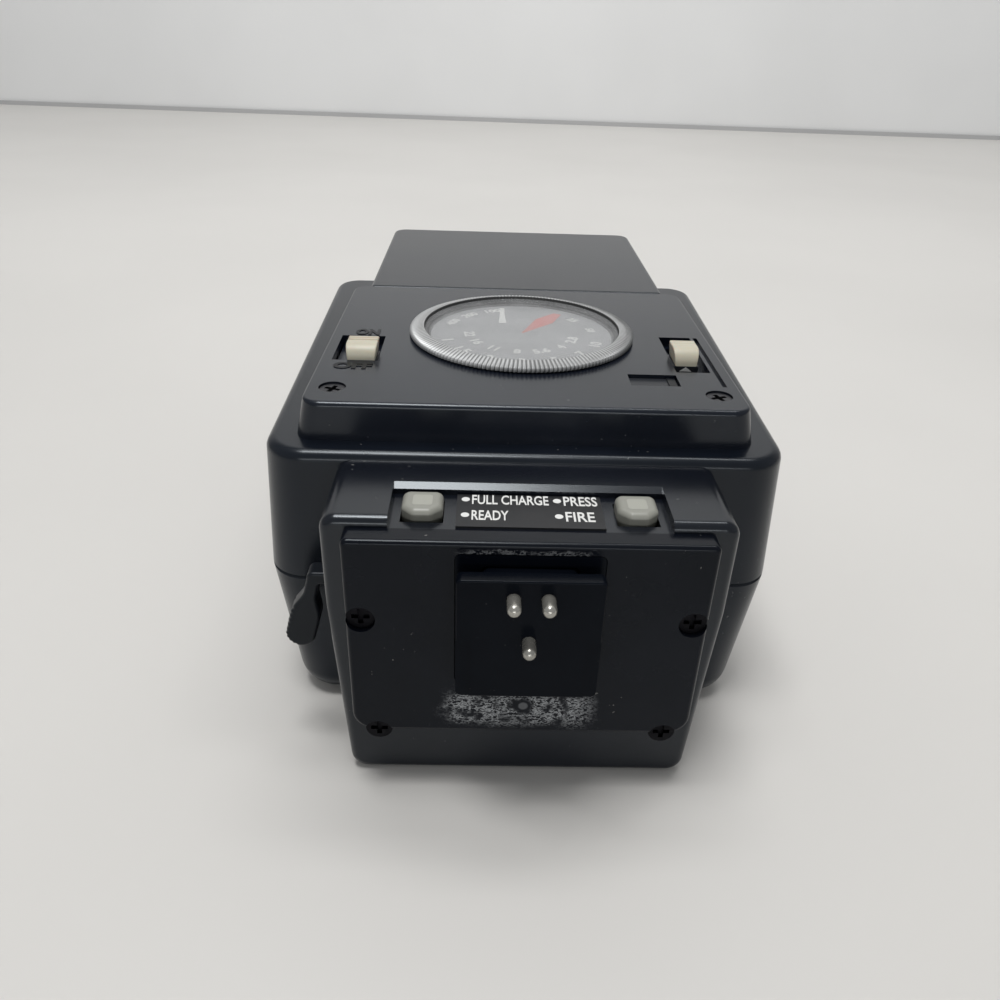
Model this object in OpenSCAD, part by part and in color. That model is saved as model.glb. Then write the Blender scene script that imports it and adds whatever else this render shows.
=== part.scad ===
// Shoe mount flash, lying on its front: rear panel up, shoe foot towards -Y, flash head towards +Y.
// Millimetres. X is the width, Y runs from the foot to the head, Z from the front to the rear.

/* [Shoe foot] */
// Width of the foot across the shoe's rails
foot_w = 18.6; // [17.5:0.1:19]
// Length of the foot along the shoe
foot_len = 18.8; // [18:0.1:20]
// Thickness of the foot's flange
foot_t = 2; // [1.6:0.1:2.4]
// Gap between the flange and the base, for the shoe's rails
rail_gap = 2; // [1.5:0.1:3]
// Width of the neck between the shoe's rails
neck_w = 12.2; // [10:0.1:12.5]
// How far the neck is set in from each end of the foot
neck_inset = 0.9; // [0.4:0.1:1.2]
// Height of the foot's centre above the front
foot_z = 31.4; // [30:0.1:32]
// Diameter of the foot's round boss inside the base
boss_d = 10; // [9:0.1:10.2]
// Width of the lead-in rebate along the flange's front half
rebate_w = 1.9; // [1:0.1:2.5]
// Depth of the lead-in rebate
rebate_depth = 0.3; // [0.1:0.1:0.6]

/* [Contact pins] */
// Diameter of a contact pin
pin_d = 1.8; // [1.4:0.1:2]
// How far a pin stands out of the foot
pin_out = 3; // [2:0.1:4]
// Sideways place of the two rear pins
pin_x = 2.15; // [2:0.05:2.6]
// Distance of the two rear pins from the centre pin
pin_step = 6.7; // [6:0.1:7]
// Diameter of the collar on a pin
collar_d = 3; // [2.6:0.1:3.2]
// Thickness of the collar on a pin
collar_t = 1; // [0.6:0.1:1.4]
// Length of a pin's spring
pin_spring_len = 4; // [3:0.1:5]

/* [Base] */
// Width of the base over its upper part
base_w = 54; // [52:0.5:58]
// Width of the base at its front edge
base_low_w = 50.2; // [48:0.2:53]
// Rear face of the base above the front
base_h = 45; // [44:0.1:45.5]
// Front face of the base above the resting plane
base_lift = 0.2; // [0.1:0.1:1]
// Depth of the base from its end face to the body
base_depth = 15.5; // [15:0.1:18]
// Wall of the base
base_wall = 2; // [1.6:0.1:2.4]
// Rounding of the base's corners
base_r = 2.6; // [1.5:0.1:4]
// Half width of the lamp recess in the base's rear face
recess_half = 18.2; // [17.5:0.1:20]
// Length of the lamp recess from the base's end face
recess_len = 8.7; // [8:0.1:10]
// Depth of the lamp recess
recess_depth = 1.4; // [0.8:0.1:1.8]

/* [Bottom cover] */
// Width of the bottom cover
cover_w = 47.7; // [46:0.1:49]
// How far the bottom cover stands proud of the base
cover_t = 3.1; // [2.8:0.1:4]
// Lower edge of the bottom cover above the front
cover_low = 11.5; // [10:0.1:13]
// Rounding of the bottom cover's corners
cover_r = 3; // [1:0.1:4]
// Sideways place of the upper cover screws
cover_screw_x = 21.9; // [21:0.1:22.2]
// Height of the upper cover screws
cover_screw_z = 31.3; // [29:0.1:33]
// Sideways place of the lower cover screws
low_screw_x = 20.3; // [18:0.1:21]
// How far the lower cover screws sit below the cover's edge
low_screw_drop = 0.3; // [0:0.1:0.8]
// Depth of the wells that the cover screws sit in
well_depth = 2; // [1.4:0.1:2.2]

/* [Lock lever] */
// Length of the lever's hub along the boss
lever_t = 3; // [2:0.1:3.5]
// Ring width of the lever's hub
hub_ring = 3.4; // [3:0.1:3.6]
// Height of the lever's arm
arm_h = 2; // [1.8:0.1:3]
// Distance of the lever's elbow from the foot's axis
elbow_x = 29.8; // [29.5:0.1:33]
// Length of the paddle from the elbow
paddle_len = 12.6; // [11.5:0.1:14]
// Width of the paddle
paddle_w = 4.1; // [3.6:0.1:5]
// Straight run of the paddle's sides
paddle_run = 3.7; // [2:0.1:4.5]
// Width of the narrow neck between elbow and paddle
paddle_neck = 1.7; // [1.5:0.1:2]
// Length of the narrow neck
paddle_neck_len = 3; // [2:0.1:4]
// Slant of the paddle from upright
paddle_slant = 15; // [10:1:25]
// Swing of the lever from unlocked to locked
lever_swing = 20; // [10:1:20]
// Thickness of the clamp plate behind the foot
clamp_t = 1.6; // [1.2:0.1:1.8]
// Margin of the clamp plate round the foot's neck
clamp_rim = 3.4; // [2.5:0.1:4]

/* [Body] */
// Width of the body at the seam
seam_w = 78.4; // [77:0.2:84]
// Width of the body at its rear face
top_w = 76.8; // [74:0.2:80]
// Width of the body at its front face
low_w = 72; // [71:0.2:78]
// Length of the body
body_len = 82; // [81:0.5:90]
// Rear face of the body above the front
body_h = 46; // [45.8:0.1:47]
// Seam between the shells above the front
seam_z = 24.4; // [23.5:0.1:26]
// Wall of the shells
wall = 2.4; // [2.2:0.1:2.6]
// Upright corner radius beside the base
near_r = 5; // [4:0.5:9]
// Upright corner radius beside the head
far_r = 5; // [4:0.5:12]
// Rounding of the body's rear edges along its sides
top_edge_r = 1.6; // [1.2:0.1:5]
// Rounding of the body's front edges
low_edge_r = 4.5; // [3:0.1:6]
// Rounding of the rear edge beside the base
near_edge_r = 1.6; // [1.2:0.1:3.4]

/* [Head] */
// Width of the head
head_w = 58.6; // [57.5:0.1:64]
// Length of the head from the panel to its end
head_len = 51.8; // [50:0.1:60]
// Rounding of the head's edges
head_r = 3; // [2.7:0.1:5]
// Width of the flash window
window_w = 51; // [46:0.5:53]
// Length of the flash window
window_len = 25; // [22:0.5:26]
// Margin between the flash window and the head's end
window_margin = 4; // [3.8:0.1:6]
// Width of the flange behind the flash window
window_flange = 1.2; // [0.8:0.1:1.3]
// Thickness of the flange behind the flash window
window_back = 1.2; // [0.8:0.1:1.6]
// Radius of the reflector's trough
reflector_r = 12; // [10:0.1:12.5]
// Sheet thickness of the reflector
reflector_t = 0.6; // [0.4:0.1:1]
// Diameter of the flash tube
tube_d = 4.4; // [3:0.1:5]
// Length of the flash tube
tube_len = 46; // [40:0.5:47]
// Distance of the flash tube behind the reflector's mouth
tube_rise = 6; // [4:0.1:7]
// Diameter of the sensor lens
sensor_d = 8; // [6:0.1:9]
// Distance of the sensor from the body's end
sensor_back = 9; // [8:0.1:10]

/* [Control panel] */
// Width of the control panel
panel_w = 64; // [62:0.5:67]
// Length of the control panel
panel_len = 58; // [57:0.5:62]
// Height of the control panel above the body
panel_h = 6; // [5.6:0.1:7]
// Distance of the control panel from the body's near face
panel_inset = 3.8; // [3:0.1:5]
// How far the panel's sides spread towards the body
panel_spread = 1.5; // [0.4:0.1:1.8]
// Rounding of the panel's upright corners
panel_r = 2.6; // [1:0.1:4]
// Rounding of the panel's rear edges
panel_edge_r = 0.9; // [0.4:0.1:1.4]
// Thickness of the panel's face
skin = 1.6; // [1.4:0.1:2]
// Sideways place of the panel screws
panel_screw_x = 28.6; // [28:0.1:29]
// Distance of the panel screws from the panel's near edge
panel_screw_y = 5.8; // [5:0.1:7]
// Length of the small window in the panel
slit_len = 7.4; // [5:0.1:9]
// Width of the small window in the panel
slit_w = 4.3; // [3:0.1:5]
// Depth of the small window's recess
slit_depth = 1; // [0.6:0.1:1.1]

/* [Dial] */
// Outer diameter of the dial ring
ring_d = 38.7; // [36:0.1:40]
// How far the dial ring stands above the panel
ring_h = 1.5; // [1.2:0.1:2.5]
// Diameter of the clear window in the ring
glass_d = 33.4; // [30:0.1:34]
// Thickness of the clear window
glass_t = 0.8; // [0.5:0.1:0.9]
// Width of the ledge that carries the clear window
ledge = 0.7; // [0.5:0.1:1]
// Depth of the dial's recess in the panel
dial_depth = 1.6; // [1.4:0.1:1.8]
// Thickness of the printed scale
scale_t = 0.7; // [0.4:0.1:0.9]
// Distance of the dial's centre from the panel's near edge
dial_y = 31.7; // [30:0.1:33]
// Diameter of the rivet that holds the scale
rivet_d = 2.2; // [1.6:0.1:3]

/* [Switches] */
// Width of a slider's cap
cap_w = 5.2; // [4.4:0.1:5.4]
// Length of a slider's cap
cap_len = 5.2; // [4.5:0.1:5.6]
// How far a slider's cap stands above the panel
cap_out = 2.2; // [1.5:0.1:3]
// Sideways place of the power slider
power_x = 25.9; // [25.8:0.1:26.4]
// Distance of the power slot from the panel's near edge
power_y = 16.9; // [16:0.1:18]
// Length of the power slot
power_len = 11.2; // [10.5:0.1:13]
// Bare strip beside the power slider
power_strip = 1.9; // [1:0.1:2]
// Sideways place of the mode slot
mode_x = 26.7; // [26.2:0.1:27]
// Width of the mode slider's cap
mode_cap_w = 4.4; // [4:0.1:5]
// Distance of the mode slot from the panel's near edge
mode_y = 15; // [14:0.1:16]
// Length of the mode slot
mode_len = 16.2; // [15:0.1:18]
// Distance of the mode slider from its slot's near end at rest
mode_rest = 3.6; // [2:0.1:5]

/* [Lamp and button] */
// Side of the check lamp and of the test button
key_w = 5.4; // [4.5:0.1:6]
// Sideways place of the lamp and of the button
key_x = 14; // [13.5:0.1:14.6]
// How far the lamp and the button stand above the recess
key_out = 1.7; // [1.2:0.1:2.2]
// Half width of the label strip
label_half = 9.6; // [8:0.1:10]
// Thickness of the label strip
label_t = 0.3; // [0.2:0.1:0.8]

/* [Batteries] */
// Diameter of a battery cell
cell_d = 14.5; // [13.5:0.1:14.5]
// Length of a battery cell with its cap
cell_len = 50.5; // [48:0.1:50.5]
// Distance between neighbouring cells
cell_pitch = 15.1; // [15:0.05:15.2]
// Wall of the battery tray
tray_wall = 1.2; // [0.8:0.1:1.2]
// Thickness of the battery door
door_t = 1.6; // [1.4:0.1:1.7]
// Sheet thickness of the battery contacts
strip_t = 0.5; // [0.3:0.1:0.6]
// Height of a contact's spring
coil_h = 2.6; // [2:0.1:3]

/* [Electronics] */
// Diameter of the main capacitor
capacitor_d = 22; // [18:0.5:22]
// Length of the main capacitor
capacitor_len = 46; // [40:0.5:52]
// Thickness of the circuit boards
board_t = 1.6; // [1.2:0.1:1.6]
// Half width of the main board
board_half = 25.5; // [24:0.1:25.8]
// Height of the transformer
transformer_h = 14; // [10:0.5:16]

/* [Fasteners and clearances] */
// Diameter of a screw's shank
screw_d = 2.4; // [2:0.1:2.6]
// Diameter of a screw's head
screw_head_d = 3.8; // [3.4:0.1:4]
// Thickness of a screw's head
screw_head_t = 1.2; // [0.8:0.1:1.4]
// Radial clearance of a running fit
running = 0.05; // [0.02:0.01:0.1]
// Clearance between sliding or fitted faces
slip = 0.1; // [0.05:0.01:0.15]
// Clearance round a loosely seated piece
seat = 0.3; // [0.2:0.05:0.35]

/* [Hidden] */
$fn = 64;
past = 1;
wide = 200;
joined = 0.01;
overall_l = pin_out + foot_t + rail_gap + cover_t + base_depth + panel_inset + panel_len + head_len;
// Places along Y, from the foot's outer face to the head's end
foot_y = pin_out - overall_l / 2;
cover_y = foot_y + foot_t + rail_gap;
base_y = cover_y + cover_t;
body_y = base_y + base_depth;
panel_y = body_y + panel_inset;
head_y = panel_y + panel_len;
body_end = body_y + body_len;
head_end = head_y + head_len;
// Heights
panel_z = body_h + panel_h;
skin_z = panel_z - skin;
recess_z = base_h - recess_depth;
dial_floor = panel_z - dial_depth;
cell_z = wall + seat + cell_d / 2;
tray_top = cell_z + cell_d / 2 + seat + tray_wall;
board_z = tray_top + seat;
board_face = board_z + board_t;
// Bottom cover and foot
cover_floor = cover_y + clamp_t;
cover_seat = cover_y + well_depth;
low_screw_z = cover_low - low_screw_drop;
neck_len = foot_len - 2 * neck_inset;
neck_r = 1;
plate_r = 0.8;
boss_back = 3.2;
boss_end = body_y - base_wall - boss_back;
lever_gap = 0.6;
lever_y = boss_end - lever_t - lever_gap;
hub_r = boss_d / 2 + hub_ring;
arm_drop = 0.9;
post_gap = 0.5;
post_len = lever_y - base_y - post_gap;
clamp_end = 2;
peg_r = 1;
peg_x = neck_w / 2 + seat + peg_r;
cover_screws_at = [
    for (side = [-1, 1])
        each [[side * cover_screw_x, cover_screw_z], [side * low_screw_x, low_screw_z]]
];
// Lamp and button, with the button's spring and switch below on the base's shelf
key_inset = 1.6;
key_y = base_y + key_inset;
key_mid = key_y + key_w / 2;
key_floor = recess_z - base_wall;
spring_room = 4;
spring_low = key_floor - spring_room;
switch_h = 4;
shelf_z = spring_low - switch_h;
shelf_gap = 1;
shelf_in = peg_x + peg_r + shelf_gap;
shelf_t = 2.2;
flange = 0.6;
flange_t = 1;
key_stem_r = 1;
key_stem_len = 2;
spring_r = 2.2;
spring_wire = 0.6;
spring_len = key_floor - flange_t - slip - spring_low;
switch_half = 3;
bulb_r = 1.6;
lever_slot_low = foot_z - arm_drop - arm_h / 2 - seat;
lever_slot_top = foot_z + base_w / 2 * tan(lever_swing) + arm_h / 2 / cos(lever_swing) + seat - arm_drop;
pins = [[0, 0], [-pin_x, pin_step], [pin_x, pin_step]];
chamber_r = collar_d / 2 + slip;
chamber_len = collar_t + pin_spring_len + 2 * slip;
block_wall = 0.9;
block_h = 2 * (chamber_r + block_wall);
block_len = chamber_len + block_wall;
pin_spring_wire = 0.4;
thread_step = 1.5;
thread_r = boss_d / 2 - thread_step;
thread_len = 2.4;
nut_rim = 1.2;
nut_r = boss_d / 2 + nut_rim;
nut_t = 2;
// Screws
driver_w = 0.7;
driver_rim = 1.4;
driver_len = screw_head_d - driver_rim;
sunk = 0.3;
boss_wall = 1.6;
boss_r = screw_d / 2 + boss_wall;
post_wall = 1.5;
post_r = screw_head_d / 2 + post_wall;
post_depth = 8;
shell_thread = 9;
base_thread = 1.4;
// Panel
dial_mid = panel_y + dial_y;
ring_neck_t = 1.05;
ring_neck_r = glass_d / 2 - ledge + ring_neck_t;
dial_boss_wall = 1.6;
dial_boss_r = ring_neck_r + running + dial_boss_wall;
dial_boss_t = 1.5;
rim_chamfer = 0.5;
glass_drop = 0.5;
glass_top = panel_z + ring_h - glass_drop;
lip = 0.8;
lip_t = 0.6;
scale_low = dial_floor + lip_t + 2 * slip;
scale_z = scale_low + scale_t;
rivet_head_t = 0.4;
rivet_head_rim = 0.9;
rivet_head_r = rivet_d / 2 + rivet_head_rim;
panel_screw_mid = panel_y + panel_screw_y;
panel_far_r = 0.3;
panel_inner = panel_w / 2 - skin - slip;
opening_side = 1.2;
opening_rim = 2.5;
opening_half = panel_screw_x - screw_head_d / 2 - opening_side;
opening_y = panel_screw_mid + screw_head_d / 2 + opening_rim;
opening_end = head_y - opening_rim;
switch_low = body_h + slip;
slit_gap = 0.6;
slit_back = 9.2;
slit_x = mode_x - cap_w / 2 - slit_gap - slit_len;
slit_y = panel_y + slit_back;
slit_plate_t = 0.4;
groove_gap = 1;
groove_w = 0.7;
groove_x = mode_x + cap_w / 2 + groove_gap;
groove_depth = 0.5;
// Sliders and the switches below them
mode_mid = mode_x - (cap_w - mode_cap_w) / 2;
stem_half = 1;
stem_len = 2;
ridge_step = 0.8;
ridge_w = 0.35;
ridge_depth = 0.25;
switch_rim = 0.8;
// Base
base_near_r = 1.4;
base_edge_r = 1.2;
mouth_side = 1.6;
mouth_rim = 3.2;
mouth_half = cover_screw_x - screw_head_d / 2 - mouth_side;
mouth_low = cover_low + mouth_rim;
bend_drop = 1;
top_r_less = 0.4;
// Battery bay
bay_len = cell_len + coil_h + 2 * strip_t + 2 * slip;
bay_back = 3.6;
bay_y = body_y + wall + bay_back;
tray_half = 1.5 * cell_pitch + cell_d / 2 + slip;
door_y = bay_y + tray_wall;
tongue = 1.2;
grip_count = 6;
grip_step = 1.6;
grip_w = 0.8;
grip_depth = 0.5;
grip_half = 6;
nub = 1.3;
nub_r = 2.7;
coil_r = 3;
strip_half = 5;
strip_inset = 2;
// Head, flash window and sensor
head_low_r = 0.6;
window_y = head_end - window_margin - window_len;
window_mid = window_y + window_len / 2;
mouth_z = wall + window_back + slip;
sensor_y = body_end - sensor_back;
shell_screw_in = 0.6;
shell_screw_back = 10.1;
shell_screw_x = low_w / 2 - low_edge_r - shell_screw_in;
shell_screw_y = body_end - shell_screw_back;
capacitor_back = 3.4;
capacitor_y = body_y + wall + seat + capacitor_back + capacitor_d / 2;
board_gap = 2;
board_y = capacitor_y + capacitor_d / 2 + board_gap;
board_past = 6;
board_end = window_mid + board_past;
base_screw_x = 18;
base_screw_low = 7;
base_screw_high = 39;
base_screws_at = [
    for (z = [base_screw_low, base_screw_high])
        for (side = [-1, 1])
            [side * base_screw_x, z]
];
core_half = 9;
core_t = 4;
core_gap = 8;
winding_in = 1;
coil_left = 12;
coil_back = 4;
coil_at = [-coil_left, window_mid - coil_back];
trigger_r = 4.5;
trigger_len = 12;
transistor_right = 10;
transistor_back = 26;
transistor_at = [transistor_right, board_y + transistor_back];
transistor_size = [10, 4, 12];
tab_t = 1.2;
tab_rise = 5;
tube_cap_len = 3;
cheek_in = 2;
sensor_drop = 0.4;
sensor_rim = 1;

// Outline with rounded corners: straight sides between tangent points, and a disc in each rounded corner
function unit(v) = v / norm(v);
function half_angle(a, b, c) = acos(unit(a - b) * unit(c - b)) / 2;
function disc_centre(a, b, c, r) = b + unit(unit(a - b) + unit(c - b)) * r / sin(half_angle(a, b, c));
function corner_points(a, b, c, r) =
    let (back = r / tan(half_angle(a, b, c)))
    r > 0 ? [b + unit(a - b) * back, b + unit(c - b) * back] : [b];
function before(list, i) = list[(i + len(list) - 1) % len(list)];
function after(list, i) = list[(i + 1) % len(list)];

module rounded_outline(points, radii) {
    polygon([
        for (i = [0 : len(points) - 1])
            each corner_points(before(points, i), points[i], after(points, i), radii[i])
    ]);
    for (i = [0 : len(points) - 1])
        if (radii[i] > 0)
            translate(disc_centre(before(points, i), points[i], after(points, i), radii[i]))
                circle(r = radii[i]);
}

function rectangle(x0, y0, x1, y1) = [[x0, y0], [x1, y0], [x1, y1], [x0, y1]];

// An X-Z outline carried along Y, and a Y-Z outline carried along X
module along_y(y, length) {
    translate([0, y + length, 0])
        rotate([90, 0, 0])
            linear_extrude(length)
                children();
}

module along_x(x, length) {
    translate([x, 0, 0])
        rotate([90, 0, 90])
            linear_extrude(length)
                children();
}

module rod_y(x, y, z, r, length) {
    translate([x, y, z])
        rotate([-90, 0, 0])
            cylinder(r = r, h = length);
}

module rod_z(x, y, z, r, length) {
    translate([x, y, z])
        cylinder(r = r, h = length);
}

module box(low, high) {
    translate(low)
        cube(high - low);
}

// Screw pointing along -Z from the underside of its head, with a cross recess
module screw(length) {
    difference() {
        union() {
            cylinder(d = screw_head_d, h = screw_head_t);
            translate([0, 0, -length])
                cylinder(d = screw_d, h = length + joined);
        }
        for (turn = [0, 90])
            rotate(turn)
                translate([-driver_len / 2, -driver_w / 2, screw_head_t / 2])
                    cube([driver_len, driver_w, screw_head_t]);
    }
}

// Body between the base and the head, drawn in by inset on every side
module body_block(inset) {
    low = low_w / 2 - inset;
    mid = seam_w / 2 - inset;
    top = top_w / 2 - inset;
    near = body_y + inset;
    far = body_end - inset;
    intersection() {
        linear_extrude(body_h)
            rounded_outline(rectangle(-mid, near, mid, far),
                            [near_r - inset, near_r - inset, far_r - inset, far_r - inset]);
        along_y(near - past, far - near + 2 * past)
            rounded_outline([[-low, inset], [low, inset], [mid, seam_z], [top, body_h - inset],
                             [-top, body_h - inset], [-mid, seam_z]],
                            [low_edge_r - inset, low_edge_r - inset, 0,
                             top_edge_r - inset, top_edge_r - inset, 0]);
        along_x(-mid - past, 2 * mid + 2 * past)
            rounded_outline(rectangle(near, inset, far, body_h - inset),
                            [low_edge_r - inset, low_edge_r - inset,
                             top_edge_r - inset, near_edge_r - inset]);
    }
}

// Head, from the panel's far edge to the end of the flash, drawn in by inset on every side
module head_block(inset) {
    half = head_w / 2 - inset;
    low_r = inset > 0 ? 0 : head_low_r;
    top_r = inset > 0 ? 0 : panel_edge_r;
    intersection() {
        linear_extrude(panel_z)
            rounded_outline(rectangle(-half, head_y + inset, half, head_end - inset),
                            [0, 0, head_r - inset, head_r - inset]);
        along_y(head_y + inset, head_len - 2 * inset)
            rounded_outline(rectangle(-half, inset, half, panel_z - inset),
                            [low_r, low_r, top_r, top_r]);
    }
}

module casing(inset) {
    body_block(inset);
    head_block(inset);
}

module slab(low_z, high_z) {
    box([-wide / 2, -wide / 2, low_z], [wide / 2, wide / 2, high_z]);
}

module shell_walls(low_z, high_z) {
    intersection() {
        difference() {
            casing(0);
            casing(wall);
        }
        slab(low_z, high_z);
    }
}

module base_screw_cuts() {
    for (at = base_screws_at)
        rod_y(at[0], body_y - past, at[1], screw_d / 2 + running, wall + 2 * base_thread + past);
}

module base_screw_bosses(low_z, high_z) {
    for (at = base_screws_at)
        if (at[1] > low_z && at[1] < high_z)
            rod_y(at[0], body_y + wall / 2, at[1], boss_r, wall / 2 + base_thread);
}

module front_shell() {
    color("#17191d")
        difference() {
            union() {
                shell_walls(0, seam_z);
                base_screw_bosses(0, seam_z);
                for (side = [-1, 1])
                    rod_z(side * shell_screw_x, shell_screw_y, wall / 2, post_r, seam_z - wall / 2);
            }
            base_screw_cuts();
            door_way();
            box([-window_w / 2, window_y, -past], [window_w / 2, window_y + window_len, wall + past]);
            rod_z(0, sensor_y, -past, sensor_d / 2, wall + 2 * past);
            tube_hole(seat, tube_len + 2 * tube_cap_len + 2 * seat);
            for (side = [-1, 1]) {
                rod_z(side * shell_screw_x, shell_screw_y, -past, screw_d / 2 + slip, seam_z + 2 * past);
                rod_z(side * shell_screw_x, shell_screw_y, -past,
                      screw_head_d / 2 + slip, past + screw_head_t + sunk);
            }
        }
}

// Space of the battery door and of its tongues, open at the right side, and the way in to the cells
module door_way() {
    door_outline(slip, -past, door_t + running, seam_w);
    box([-tray_half, door_y, 0], [tray_half, door_y + bay_len, wall + past]);
}

module door_outline(gap, low_z, high_z, right) {
    box([-tray_half - gap, door_y - gap, low_z], [right, door_y + bay_len + gap, high_z]);
    box([-tray_half - gap, door_y - tongue - gap, door_t / 2 - gap / 2],
        [right, door_y + bay_len + tongue + gap, high_z]);
}

module battery_door() {
    color("#191b20")
        difference() {
            intersection() {
                body_block(0);
                door_outline(0, sunk, door_t, seam_w);
            }
            for (i = [1 : grip_count])
                translate([tray_half - grip_step * i, door_y + bay_len / 2, 0])
                    box([0, -grip_half, -past], [grip_w, grip_half, sunk + grip_depth]);
        }
}

module rear_shell() {
    boss_z = body_h - post_depth;
    color("#1a1c21")
        difference() {
            union() {
                shell_walls(seam_z, panel_z);
                base_screw_bosses(seam_z, body_h);
                for (side = [-1, 1]) {
                    rod_z(side * panel_screw_x, panel_screw_mid, boss_z, boss_r, post_depth - wall / 2);
                    rod_z(side * shell_screw_x, shell_screw_y, seam_z, post_r, body_h - wall / 2 - seam_z);
                }
            }
            base_screw_cuts();
            box([-opening_half, opening_y, body_h - wall - past],
                [opening_half, opening_end, body_h + past]);
            for (side = [-1, 1]) {
                rod_z(side * panel_screw_x, panel_screw_mid, boss_z + past, screw_d / 2 + running, body_h);
                rod_z(side * shell_screw_x, shell_screw_y, seam_z - past,
                      screw_d / 2 + running, shell_thread + past);
            }
        }
}

module shell_screws() {
    color("#3a3a3c")
        for (side = [-1, 1])
            translate([side * shell_screw_x, shell_screw_y, screw_head_t + sunk])
                rotate([180, 0, 0])
                    screw(seam_z + shell_thread - screw_head_t - 2 * past);
}

module panel_block(inset, low_z) {
    half = panel_w / 2 - inset;
    edge_r = inset > 0 ? 0 : panel_edge_r;
    far_edge_r = inset > 0 ? 0 : panel_far_r;
    intersection() {
        translate([0, 0, low_z])
            linear_extrude(panel_z - inset - low_z)
                rounded_outline(rectangle(-half, panel_y + inset, half, head_y - inset),
                                [panel_r, panel_r, panel_r, panel_r]);
        along_y(panel_y, panel_len)
            rounded_outline(rectangle(-half, low_z - past, half, panel_z - inset),
                            [0, 0, edge_r, edge_r]);
        along_x(-half - past, 2 * half + 2 * past)
            rounded_outline(rectangle(panel_y + inset, low_z - past, head_y - inset, panel_z - inset),
                            [0, 0, far_edge_r, edge_r]);
    }
}

// Sides of the panel, leaning out from its rear edges to the body
module panel_sides() {
    half = panel_w / 2;
    along_y(panel_y + panel_r, panel_len - 2 * panel_r)
        polygon([[-half - panel_spread, body_h], [half + panel_spread, body_h],
                 [half, panel_z - panel_edge_r], [-half, panel_z - panel_edge_r]]);
}

module control_panel() {
    color("#1d1f24")
        difference() {
            union() {
                difference() {
                    union() {
                        panel_block(0, body_h);
                        panel_sides();
                    }
                    panel_block(skin, body_h - past);
                }
                for (side = [-1, 1])
                    rod_z(side * panel_screw_x, panel_screw_mid, body_h, boss_r, panel_h - skin / 2);
                rod_z(0, dial_mid, dial_floor - dial_boss_t,
                      dial_boss_r, dial_boss_t + dial_depth - skin / 2);
            }
            for (side = [-1, 1]) {
                rod_z(side * panel_screw_x, panel_screw_mid, body_h - past, screw_d / 2 + slip, wide);
                rod_z(side * panel_screw_x, panel_screw_mid, panel_z - screw_head_t - sunk,
                      screw_head_d / 2 + slip, wide);
            }
            rod_z(0, dial_mid, dial_floor, ring_neck_r + running, wide);
            rod_z(0, dial_mid, dial_floor - 2 * dial_boss_t, rivet_d / 2 + running, wide);
            slot_cut(-power_x - cap_w / 2 - power_strip, -power_x + cap_w / 2, panel_y + power_y, power_len);
            slot_cut(mode_x - cap_w / 2, mode_x + cap_w / 2, panel_y + mode_y, mode_len);
            box([slit_x - slip, slit_y - slip, panel_z - slit_depth],
                [slit_x + slit_len + slip, slit_y + slit_w + slip, wide]);
            box([groove_x - groove_w / 2, slit_y, panel_z - groove_depth],
                [groove_x + groove_w / 2, panel_y + mode_y + mode_len, wide]);
        }
}

module slot_cut(x0, x1, y, length) {
    box([x0 - slip, y - slip, skin_z - past], [x1 + slip, y + length + slip, wide]);
}

module panel_screws() {
    color("#2b2c2f")
        for (side = [-1, 1])
            translate([side * panel_screw_x, panel_screw_mid, panel_z - screw_head_t - sunk])
                rotate([0, 0, 20 * side])
                    screw(panel_h - screw_head_t - sunk + post_depth - 2 * past);
}

module panel_window() {
    color("#3c4046")
        box([slit_x, slit_y, panel_z - slit_depth],
            [slit_x + slit_len, slit_y + slit_w, panel_z - slit_depth + slit_plate_t]);
}

// Printed disc above the ring's lip, on a hub that stands inside the lip
module dial_scale() {
    disc_r = glass_d / 2 - ledge - seat;
    color("#3b3d42")
        difference() {
            union() {
                rod_z(0, dial_mid, dial_floor, disc_r - lip, scale_z - dial_floor);
                rod_z(0, dial_mid, scale_low, disc_r, scale_t);
            }
            rod_z(0, dial_mid, dial_floor - past, rivet_d / 2 + slip, wide);
            rod_z(0, dial_mid, scale_z - rivet_head_t, rivet_head_r + slip, wide);
        }
}

// Ring in half section: neck in the panel's recess, lip under the scale, ledge for the clear window,
// chamfered rim
module dial_ring() {
    inner = glass_d / 2 - ledge;
    bore = glass_d / 2 + slip;
    rim = ring_d / 2;
    low = dial_floor + slip;
    foot = panel_z + slip;
    shelf = glass_top - glass_t;
    top = panel_z + ring_h;
    color("#c9cbcc")
        translate([0, dial_mid, 0])
            rotate_extrude()
                polygon([[inner - lip, low], [ring_neck_r, low], [ring_neck_r, foot], [rim, foot],
                         [rim, top - rim_chamfer], [rim - rim_chamfer, top],
                         [bore, top], [bore, shelf], [inner, shelf],
                         [inner, low + lip_t], [inner - lip, low + lip_t]]);
}

module dial_glass() {
    color([0.85, 0.87, 0.88, 0.4])
        rod_z(0, dial_mid, glass_top - glass_t, glass_d / 2, glass_t);
}

module scale_rivet() {
    low = dial_floor - dial_boss_t;
    color("#55585c") {
        rod_z(0, dial_mid, low, rivet_d / 2, scale_z - low);
        rod_z(0, dial_mid, scale_z - rivet_head_t, rivet_head_r, rivet_head_t);
    }
}

// Cap above the slot's floor, and a stem in the switch below it
module slider(x, y, width) {
    cap_z = skin_z + slip;
    mid = y + cap_len / 2;
    difference() {
        union() {
            box([x - width / 2 + slip, y, cap_z], [x + width / 2 - slip, y + cap_len, panel_z + cap_out]);
            box([x - stem_half, mid - stem_half, cap_z - stem_len],
                [x + stem_half, mid + stem_half, cap_z + joined]);
        }
        for (i = [1 : 3])
            box([x - width, y + cap_len - ridge_step * i, panel_z + cap_out - ridge_depth],
                [x + width, y + cap_len - ridge_step * i + ridge_w, wide]);
    }
}

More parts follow.
